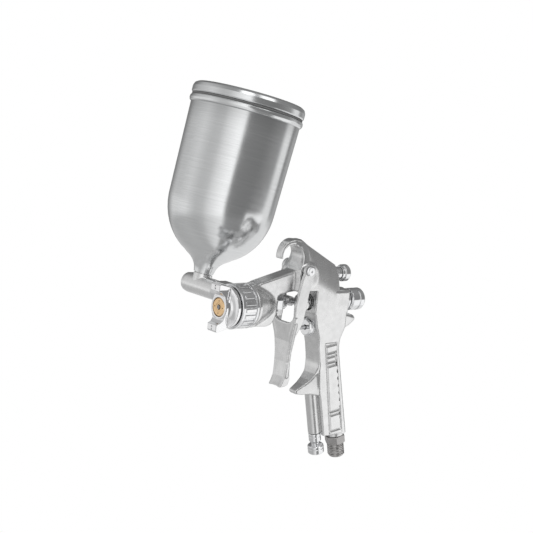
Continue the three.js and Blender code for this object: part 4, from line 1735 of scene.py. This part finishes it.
@dataclass
class NeedleTrain(TurnedPieces):
    """Needle, its collar, packing nut, return spring, rear guide and adjusting knob.

    Attributes:
        spring_turns: Turns of the return spring.
        wire: Radius of its wire.
    """

    spring_turns: float = 7.0
    wire: float = 0.45

    def turnings(self) -> list[Row]:
        """Lists the turned pieces.

        Returns:
            Each piece with its finish, body, slot and frame node.
        """
        needle = Turning("needle", Axis.BARREL, [
            (0, -0.4), (0.42, -0.4, 0.1), (0.55, 3.0), (1.6, 9.5), (1.6, 75.2, 0.1), (2.2, 75.2, 0.1),
            (2.2, 84.0), (3.1, 85.0), (3.1, 87.0), (2.2, 87.0), (2.2, 115.0), (0, 115.0),
        ], closed=False, sides=32)
        collar = Turning("needle_collar", Axis.BARREL, [
            (2.5, 75.6), (5.6, 75.6), (6.0, 76.2), (6.0, 78.4), (4.2, 79.2), (4.2, 82.0), (2.5, 82.0),
        ])
        nut = Turning("packing_nut", Axis.BARREL, [
            (1.9, 49.0), (4.3, 49.0), (4.3, 50.4, 0.1), (5.9, 50.4, 0.1), (6.5, 50.9), (6.5, 55.6, 0.2),
            (5.6, 56.4, 0.2), (4.6, 56.6, 0.2), (4.6, 60.0, 0.5), (3.8, 61.4, 0.4), (1.9, 61.4),
        ], across=11.0)
        guide = Turning("needle_guide", Axis.BARREL, [
            (3.4, 99.0), (6.0, 99.0), (6.0, 119.3, 0.1), (8.4, 119.4), (8.4, 121.4), (6.6, 121.4, 0.1),
            (6.6, 123.6), (3.4, 123.6),
        ])
        knob = Turning("fluid_knob", Axis.BARREL, [
            (0, 121.8), (3.0, 121.8), (3.0, 124.0), (7.2, 124.0), (8.5, 124.9, 0.5), (8.5, 130.6, 0.2),
            (7.9, 131.0, 0.1), (7.9, 132.0, 0.1), (8.5, 132.4, 0.2), (8.5, 135.9, 0.6), (7.4, 137.4, 0.8),
            (3.2, 137.4, 0.4), (2.6, 137.0, 0.3), (0, 137.0),
        ], closed=False, sides=96)
        return [
            (needle, GROUND_STEEL, "needle", "steel", "fluid_needle"),
            (collar, CHROME, "needle", "chrome", "needle_collar"),
            (nut, CHROME, "gun", "chrome", "packing_nut"),
            (guide, CHROME, "gun", "chrome", "needle_guide"),
            (knob, CHROME, "fluid_control", "chrome", "fluid_knob"),
        ]

    def build(self) -> None:
        """Makes and dresses every piece of the needle train."""
        super().build()
        spring = wound("return_spring", GROUND_STEEL, Axis.BARREL, (82.9, 98.4), {
            "Turns": self.spring_turns, "Radius": 4.4 * MM, "Wire": self.wire * MM, "Wire Sides": 10,
            "Steps": 36,
        })
        fit(spring, "gun", "steel", "needle_spring")


class Controls(TurnedPieces):
    """The spray pattern valve at the top rear and the air valve behind the trigger."""

    def turnings(self) -> list[Row]:
        """Lists the turned pieces.

        Returns:
            Each piece with its finish, body, slot and frame node.
        """
        guide = Turning("pattern_guide", Axis.PATTERN, [
            (1.9, 104.0), (3.3, 104.0), (3.3, 110.0, 0.1), (4.6, 110.0), (4.6, 113.2), (1.9, 113.2),
        ])
        stem = Turning("pattern_stem", Axis.PATTERN, [
            (0, 88.0), (1.0, 91.0), (1.55, 91.2), (1.55, 114.6), (0, 114.6),
        ], closed=False, sides=32)
        knob = Turning("pattern_knob", Axis.PATTERN, [
            (0, 115.2), (1.9, 115.2), (1.9, 113.6), (5.4, 113.6), (5.4, 115.4), (6.5, 116.0), (6.5, 119.8),
            (5.8, 120.8, 0.4), (0, 120.8),
        ], closed=False)
        gland = Turning("air_valve_gland", Axis.AIR_VALVE, [
            (1.9, 84.6), (5.6, 84.6), (6.6, 85.6), (6.6, 87.2), (7.3, 87.6), (7.3, 88.2), (5.0, 88.2),
            (5.0, 101.0), (3.0, 101.0), (3.0, 90.0), (1.9, 90.0),
        ])
        plunger = Turning("air_valve_stem", Axis.AIR_VALVE, [
            (0, 67.4), (0.9, 67.5, 0.3), (1.5, 68.4, 0.4), (1.5, 101.4), (4.6, 101.4), (4.6, 102.6),
            (0, 102.6),
        ], closed=False, sides=40)
        return [
            (guide, CHROME, "gun", "chrome", "pattern_guide"),
            (stem, GROUND_STEEL, "pattern_control", "steel", "pattern_stem"),
            (knob, CHROME, "pattern_control", "chrome", "pattern_knob"),
            (gland, CHROME, "gun", "chrome", "air_valve_gland"),
            (plunger, GROUND_STEEL, "air_valve", "steel", "air_valve_stem"),
        ]

@dataclass
class HandleFittings(TurnedPieces):
    """The threaded air inlet and the air regulator under the handle.

    Attributes:
        pitch: Pitch of the inlet thread.
    """

    pitch: float = 1.337

    def turnings(self) -> list[Row]:
        """Lists the turned pieces.

        Returns:
            Each piece with its finish, body, slot and frame node.
        """
        inlet = Turning("air_inlet", Axis.INLET, [
            (3.0, -9.0), (4.2, -9.0), (4.2, 2.0, 0.1), (7.3, 2.0, 0.1), (8.3, 2.7), (8.3, 7.7),
            (7.2, 8.4, 0.2), (6.0, 8.5, 0.2), (6.0, 18.9, 0.2), (5.4, 19.6, 0.2), (3.4, 19.6),
            (3.0, 19.2),
        ], across=14.2, sides=72)
        gland = Turning("regulator_gland", Axis.TUBE, [
            (1.7, 0.4), (4.5, 0.4), (4.7, 1.0), (4.7, 2.4), (4.4, 2.7), (4.4, 3.1), (4.7, 3.4), (4.7, 6.6),
            (4.2, 7.4), (1.7, 7.4),
        ])
        stem = Turning("regulator_stem", Axis.TUBE, [
            (0, -16.0), (1.0, -14.0), (1.35, -14.0), (1.35, 9.6), (0, 9.6),
        ], closed=False, sides=32)
        knob = Turning("regulator_knob", Axis.TUBE, [
            (0, 10.0), (1.7, 10.0), (1.7, 8.2), (3.2, 8.2), (3.2, 10.2, 0.2), (5.6, 10.4), (6.2, 11.1, 0.4),
            (6.2, 12.3, 0.1), (5.9, 12.6, 0.1), (5.9, 13.0, 0.1), (6.2, 13.3, 0.1), (6.2, 16.4, 0.4),
            (5.4, 17.2, 0.5), (0, 17.2),
        ], closed=False)
        return [
            (inlet, DULL_STEEL, "gun", "inlet_steel", "air_inlet"),
            (gland, CHROME, "gun", "chrome", "regulator_gland"),
            (stem, GROUND_STEEL, "air_control", "steel", "regulator_stem"),
            (knob, CHROME, "air_control", "chrome", "regulator_knob"),
        ]

    def build(self) -> None:
        """Makes and dresses the fittings under the handle."""
        super().build()
        low, high = 9.6, 18.6
        thread = wound("inlet_thread", DULL_STEEL, Axis.INLET, (low, high), {
            "Turns": (high - low) / self.pitch, "Radius": 6.02 * MM, "Wire": 0.56 * MM,
            "Wire Sides": 6, "Steps": 56,
        })
        fit(thread, "gun", "inlet_steel")


class CupLink(TurnedPieces):
    """The fluid nipple, the union nut and the elbow that carry the cup."""

    def turnings(self) -> list[Row]:
        """Lists the turned pieces.

        Returns:
            Each piece with its finish, body, slot and frame node.
        """
        nipple = Turning("fluid_nipple", Axis.CROSS, [
            (3.0, 5.0), (4.9, 5.0), (4.9, 15.6, 0.1), (7.6, 15.6, 0.1), (8.7, 16.2), (8.7, 22.0),
            (7.6, 22.6, 0.1), (6.2, 22.9, 0.2), (6.4, 23.6, 0.2), (6.4, 37.0, 0.3), (4.2, 39.4, 0.3),
            (3.0, 39.4),
        ], across=14.9)
        nut = Turning("cup_union_nut", Axis.CROSS, [
            (6.8, 34.4), (8.4, 34.4), (9.5, 35.1), (9.5, 45.9), (8.2, 46.6), (5.8, 46.6), (5.8, 40.4),
            (6.8, 40.4),
        ], across=16.3)
        arm = Turning("cup_elbow_arm", Axis.CROSS, [
            (0, 39.8), (5.2, 39.8), (5.2, 47.4, 0.1), (7.2, 47.5, 0.4), (7.6, 48.6, 0.5), (7.8, 82.0, 3.0),
            (7.2, 85.4, 1.0), (5.6, 87.2, 1.0), (3.0, 88.4, 1.0), (0, 88.6),
        ], closed=False, sides=96)
        riser = Turning("cup_elbow_riser", Axis.CUP, [
            (0, 0), (7.3, 0.0), (7.3, 8.9, 0.3), (6.4, 9.1, 0.1), (6.4, 13.6), (0, 13.6),
        ], closed=False, sides=96)
        return [
            (nipple, CHROME, "gun", "chrome", "fluid_nipple"),
            (nut, CHROME, "union_nut", "chrome", "cup_union_nut"),
            (arm, SATIN_ALUMINIUM, "cup", "cup_metal", "cup_elbow"),
            (riser, SATIN_ALUMINIUM, "cup", "cup_metal", ""),
        ]


@dataclass
class Cup(TurnedPieces):
    """The spun cup, its gasket and its lid.

    Attributes:
        bowl_radius: Radius where the bowl meets the wall.
        bowl_top: Height of that place up the cup's axis.
        bowl_depth: Depth of the half-ellipse bowl.
        mouth: Radius at the bead.
        bead: Height of the bead.
        wall: Thickness of the metal.
    """

    bowl_radius: float = 41.0
    bowl_top: float = 65.0
    bowl_depth: float = 46.0
    mouth: float = 42.6
    bead: float = 133.8
    wall: float = 1.1

    def radius(self, height: float) -> float:
        """Gives the outer radius of the bowl or the wall.

        Args:
            height: Place up the cup's axis.

        Returns:
            The radius in millimetres.
        """
        if height >= self.bowl_top:
            share = (height - self.bowl_top) / (self.bead - self.bowl_top)
            return self.bowl_radius + (self.mouth - self.bowl_radius) * share
        drop = (self.bowl_top - height) / self.bowl_depth
        return self.bowl_radius * math.sqrt(max(0.0, 1 - drop * drop))

    def shell(self) -> Turning:
        """Describes the cup, inside and out.

        Returns:
            The piece, ready to be made.
        """
        heights = [
            24.0, 26.0, 28.5, 31.0, 34.0, 37.5, 41.5, 46.0, 51.0, 56.0, 61.0, 65.0, 80.0, 100.0, 120.0,
            self.bead
        ]
        neck = [
            (7.5, 9.6, 0.2), (7.9, 11.6, 0), (8.4, 13.6, 0), (9.3, 15.6, 0), (10.8, 17.8, 0),
            (13.2, 20.2, 0), (16.2, 22.2, 0)
        ]
        wall = [(self.radius(h), h, 0) for h in heights]
        rim = [
            (43.8, 134.6, 0.9), (44.3, 136.4, 1.6), (44.0, 138.2, 0.8), (43.3, 138.9, 0.4), (41.4, 138.9, 0.3)
        ]
        lining = [(self.radius(h) - self.wall, h + (1.0 if h < 50 else 0.0), 0) for h in reversed(heights)]
        throat = [(9.0, 21.4, 1.0), (6.8, 18.0, 1.0), (6.8, 9.6, 0.2)]
        return Turning("cup_shell", Axis.CUP, [*neck, *wall, *rim, *lining, *throat], sides=192)

    def turnings(self) -> list[Row]:
        """Lists the cup, its lid and its gasket.

        Returns:
            Each piece with its finish, body, slot and frame node.
        """
        lid = Turning("cup_lid", Axis.CUP, [
            (0, 147.0), (36.0, 147.0), (40.2, 143.6), (40.2, 140.6), (43.1, 140.6, 0.3),
            (44.0, 141.5, 0.5), (44.0, 145.4, 1.2), (43.0, 148.0, 1.6), (40.6, 149.4, 1.4),
            (38.0, 149.6, 0.6), (37.2, 149.3, 0.3), (36.0, 149.8, 0.4), (20.0, 150.1, 1.0), (0, 150.3),
        ], closed=False, sides=192)
        gasket = Turning(
            "cup_gasket", Axis.CUP, [(41.4, 139.1), (43.3, 139.1), (43.3, 140.4), (41.4, 140.4)], sides=128
        )
        return [
            (self.shell(), SPUN_ALUMINIUM, "cup", "cup_metal", "cup_shell"),
            (lid, SPUN_ALUMINIUM, "lid", "cup_metal", "cup_lid"),
            (gasket, GREY_RUBBER, "lid", "gasket", "lid_gasket"),
        ]


def dress_frame_nodes() -> None:
    """Gives the frame nodes that stay in view inside the gun their finishes."""
    for node, finish in (("air_baffle", TURNED_BRASS), ("needle_packing", WHITE_SEAL)):
        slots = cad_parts[node].material_slots
        for slot in slots:
            slot.material = finish.on(Axis.BARREL)
        LOG.info("%s: frame node in %s", node, finish.name)


# ------------------------------------------------------------------ studio


@dataclass
class Studio:
    """Camera, floor, room and lights.

    Attributes:
        azimuth: Turn of the camera round the gun, in degrees.
        elevation: Height of the camera above the level, in degrees.
        roll: Tip of the camera about its own axis, in degrees.
        distance: From the aim point to the camera, in millimetres.
        aim: The aim point in the frame, in millimetres.
        lens: Focal length on a 36 mm sensor.
        floor_gap: Floor below the lowest point of the gun, in millimetres.
        ceiling: Brightness overhead.
        eye_band: Upward looks between which the low wall turns into the high wall.
        foot_band: Upward looks between which the foot turns into the low wall.
        roof_band: Upward looks between which the high wall turns into the ceiling.
        card_light: Brightness of the side card.
        card_way: Level direction from the gun to the card.
        card_away: Distance of the card, in metres.
        card_half: Half its width, in metres.
        card_span: Heights of its lower and upper edge, in metres.
        lamps: Name, place and size in metres, and power in watts of each soft light.
        low_wall: Brightness round the room below the camera's eye level.
        high_wall: Brightness round the room above it.
        foot_wall: Brightness round the room near the ground.
    """

    azimuth: float = -41.0
    elevation: float = 9.524
    roll: float = 5.877
    distance: float = 1000.0
    aim: tuple[float, float, float] = (-34.91, -16.17, -12.59)
    lens: float = 95.44
    floor_gap: float = 60.0
    ceiling: float = 0.30
    eye_band: tuple[float, float] = (-0.05, 0.10)
    foot_band: tuple[float, float] = (-0.34, -0.22)
    roof_band: tuple[float, float] = (0.55, 0.85)
    card_light: float = 1.05
    card_way: tuple[float, float] = (0.647, -0.744)
    card_away: float = 0.27
    card_half: float = 0.15
    card_span: tuple[float, float] = (-0.42, -0.052)
    lamps: tuple[tuple, ...] = (
        ("soft_light", (0.35, -1.2, 1.35), 0.9, 2.4), ("rim_light", (-0.62, -0.80, 1.45), 0.75, 1.8),
    )
    low_wall: tuple[tuple[float, float], ...] = (
        (-180, 0.12), (-150, 0.30), (-125, 0.74), (-80, 0.84), (-55, 0.55), (-38, 0.58), (-26, 0.80),
        (4, 1.20), (7, 1.20), (11, 0.24), (60, 0.20), (98, 0.32), (107, 0.85), (124, 0.85), (130, 0.20),
        (146, 0.42), (166, 0.40), (174, 0.14), (180, 0.12),
    )
    high_wall: tuple[tuple[float, float], ...] = (
        (-180, 0.16), (-150, 0.18), (-125, 0.50), (-80, 0.72), (-55, 0.55), (-38, 0.58), (-26, 0.80),
        (4, 1.20), (7, 1.20), (11, 0.24), (60, 0.20), (104, 0.28), (140, 0.24), (180, 0.16),
    )
    foot_wall: tuple[tuple[float, float], ...] = (
        (-180, 0.70), (-150, 0.52), (-125, 0.46), (-80, 0.50), (-55, 0.46), (-38, 0.50), (-26, 0.66),
        (4, 0.90), (7, 0.90), (14, 0.30), (60, 0.26), (80, 0.85), (180, 0.80),
    )

    def camera(self) -> None:
        """Stands the camera at its viewing angle."""
        a, e, r = (math.radians(v) for v in (self.azimuth, self.elevation, self.roll))
        back = Vector((math.sin(a) * math.cos(e), -math.cos(a) * math.cos(e), math.sin(e)))
        level = Vector((0.0, 0.0, 1.0)).cross(back).normalized()
        upright = back.cross(level)
        right = level * math.cos(r) + upright * math.sin(r)
        up = upright * math.cos(r) - level * math.sin(r)
        camera = bpy.data.objects.new("camera", bpy.data.cameras.new("camera"))
        camera.data.lens = self.lens
        camera.data.sensor_width = SENSOR_WIDTH
        camera.data.clip_start, camera.data.clip_end = 0.01, 50.0
        place = (Vector(self.aim) + back * self.distance) * MM
        camera.matrix_world = Matrix.Translation(place) @ Matrix((right, up, back)).transposed().to_4x4()
        bpy.context.scene.collection.objects.link(camera)
        bpy.context.scene.camera = camera

    def floor(self) -> None:
        """Lays a wide pale floor below the hanging gun."""
        low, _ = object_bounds()
        height = low.z - self.floor_gap * MM
        reach = 30.0
        mesh = bpy.data.meshes.new("floor")
        corners = [
            (-reach, -reach, height), (reach, -reach, height), (reach, reach, height), (-reach, reach, height)
        ]
        mesh.from_pydata(corners, [], [(0, 1, 2, 3)])
        material = bpy.data.materials.new("pale_floor")
        material.use_nodes = True
        material.node_tree.nodes.clear()
        graph = Graph(material.node_tree)
        seen = graph.add("ShaderNodeLightPath").outputs["Is Camera Ray"]
        paint = graph.add("ShaderNodeBsdfDiffuse", {"Color": (0.86, 0.86, 0.86, 1.0)})
        glow = graph.add("ShaderNodeEmission", {"Color": (1.0, 1.0, 1.0, 1.0), "Strength": 1.0})
        mixed = graph.add("ShaderNodeMixShader", {0: seen, 1: paint.outputs[0], 2: glow.outputs[0]})
        graph.add("ShaderNodeOutputMaterial", {"Surface": mixed.outputs[0]})
        mesh.materials.append(material)
        floor = bpy.data.objects.new("floor", mesh)
        floor.visible_glossy = False
        bpy.context.scene.collection.objects.link(floor)
        floor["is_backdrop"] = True

    def room(self) -> None:
        """Paints the room that the metal reflects: pale walls with darker screens between them."""
        world = bpy.data.worlds.new("room")
        bpy.context.scene.world = world
        world.use_nodes = True
        world.node_tree.nodes.clear()
        graph = Graph(world.node_tree)
        way = graph.add("ShaderNodeTexCoord").outputs["Generated"]
        parts = graph.add("ShaderNodeSeparateXYZ", {0: way}).outputs
        sine, cosine = math.sin(math.radians(self.azimuth)), math.cos(math.radians(self.azimuth))
        front = graph.math(
            "SUBTRACT", graph.math("MULTIPLY", parts[0], sine), graph.math("MULTIPLY", parts[1], cosine)
        )
        side = graph.math(
            "ADD", graph.math("MULTIPLY", parts[0], cosine), graph.math("MULTIPLY", parts[1], sine)
        )
        turn = graph.math("ADD", graph.math("DIVIDE", graph.math("ARCTAN2", side, front), math.tau), 0.5)
        below = self._ramp(graph, turn, self.low_wall)
        above = self._ramp(graph, turn, self.high_wall)
        under = self._ramp(graph, turn, self.foot_wall)
        sunk = graph.add(
            "ShaderNodeMapRange", {0: parts[2], 1: self.foot_band[0], 2: self.foot_band[1]}
        ).outputs[0]
        lower = graph.add("ShaderNodeMix", {0: sunk, 6: under, 7: below}, data_type="RGBA").outputs[2]
        rise = graph.add(
            "ShaderNodeMapRange", {0: parts[2], 1: self.eye_band[0], 2: self.eye_band[1]}
        ).outputs[0]
        walls = graph.add("ShaderNodeMix", {0: rise, 6: lower, 7: above}, data_type="RGBA").outputs[2]
        over = graph.add(
            "ShaderNodeMapRange", {0: parts[2], 1: self.roof_band[0], 2: self.roof_band[1]}
        ).outputs[0]
        roofed = graph.add(
            "ShaderNodeMix", {0: over, 6: walls, 7: (self.ceiling, self.ceiling, self.ceiling, 1.0)},
            data_type="RGBA"
        ).outputs[2]
        seen = graph.add("ShaderNodeLightPath").outputs["Is Camera Ray"]
        shown = graph.add(
            "ShaderNodeMix", {0: seen, 6: roofed, 7: (1.0, 1.0, 1.0, 1.0)}, data_type="RGBA"
        ).outputs[2]
        light = graph.add("ShaderNodeBackground", {"Color": shown, "Strength": 1.0})
        graph.add("ShaderNodeOutputWorld", {"Surface": light.outputs[0]})

    def _ramp(
        self, graph: Graph, place: bpy.types.NodeSocket, stops: Sequence[tuple[float, float]]
    ) -> bpy.types.NodeSocket:
        """Adds a grey ramp round the room.

        Args:
            graph: The world's graph.
            place: Where on the ramp, from 0 behind the gun, through 0.5 at the camera, to 1 behind it again.
            stops: Angle from the camera in degrees and brightness of each stop, from low to high.

        Returns:
            The colour socket.
        """
        ramp = graph.add("ShaderNodeValToRGB", {0: place})
        elements = ramp.color_ramp.elements
        (_, first), *inner, (_, last) = stops
        elements[0].color = (first, first, first, 1.0)
        elements[1].color = (last, last, last, 1.0)
        for angle, grey in inner:
            elements.new(angle / 360.0 + 0.5).color = (grey, grey, grey, 1.0)
        return ramp.outputs[0]

    def side_card(self) -> None:
        """Stands a bright card low on the right, which lights the flat sides of the casting."""
        mesh = bpy.data.meshes.new("side_card")
        away = Vector((*self.card_way, 0.0)).normalized()
        across = Vector((away.y, -away.x, 0.0))
        middle = Vector((0.01, -0.01, 0.0)) + away * self.card_away
        (low, high), half = self.card_span, self.card_half
        edges = ((-half, low), (half, low), (half, high), (-half, high))
        corners = [middle + across * u + Vector((0.0, 0.0, v)) for u, v in edges]
        mesh.from_pydata([tuple(c) for c in corners], [], [(0, 1, 2, 3)])
        material = bpy.data.materials.new("card_glow")
        material.use_nodes = True
        material.node_tree.nodes.clear()
        graph = Graph(material.node_tree)
        glow = graph.add("ShaderNodeEmission", {"Color": (1.0, 1.0, 1.0, 1.0), "Strength": self.card_light})
        graph.add("ShaderNodeOutputMaterial", {"Surface": glow.outputs[0]})
        mesh.materials.append(material)
        card = bpy.data.objects.new("side_card", mesh)
        card.visible_camera = False
        bpy.context.scene.collection.objects.link(card)
        card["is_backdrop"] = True

    def light(self) -> None:
        """Hangs two large soft lights, high on the right and on the left of the camera."""
        for name, place, size, power in self.lamps:
            data = bpy.data.lights.new(name, "AREA")
            data.shape, data.size, data.energy = "DISK", size, power
            light = bpy.data.objects.new(name, data)
            light.visible_camera = False
            spot = Vector(place)
            light.matrix_world = Matrix.Translation(spot) @ spot.to_track_quat("Z", "Y").to_matrix().to_4x4()
            bpy.context.scene.collection.objects.link(light)

    def build(self) -> None:
        """Sets up the whole studio."""
        bpy.context.scene.view_settings.view_transform = "Standard"
        self.camera()
        self.room()
        self.floor()
        self.side_card()
        self.light()


def main() -> None:
    """Builds the gun piece by piece, then the studio."""
    logging.basicConfig(level=logging.INFO, format="%(name)s: %(message)s")
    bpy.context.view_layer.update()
    for part in (
        Body(), Trigger(), GripPanel(), NozzleEnd(), NeedleTrain(), Controls(), HandleFittings(),
        CupLink(), Cup()
    ):
        part.build()
    dress_frame_nodes()
    Studio().build()


if __name__ == "__main__":
    main()
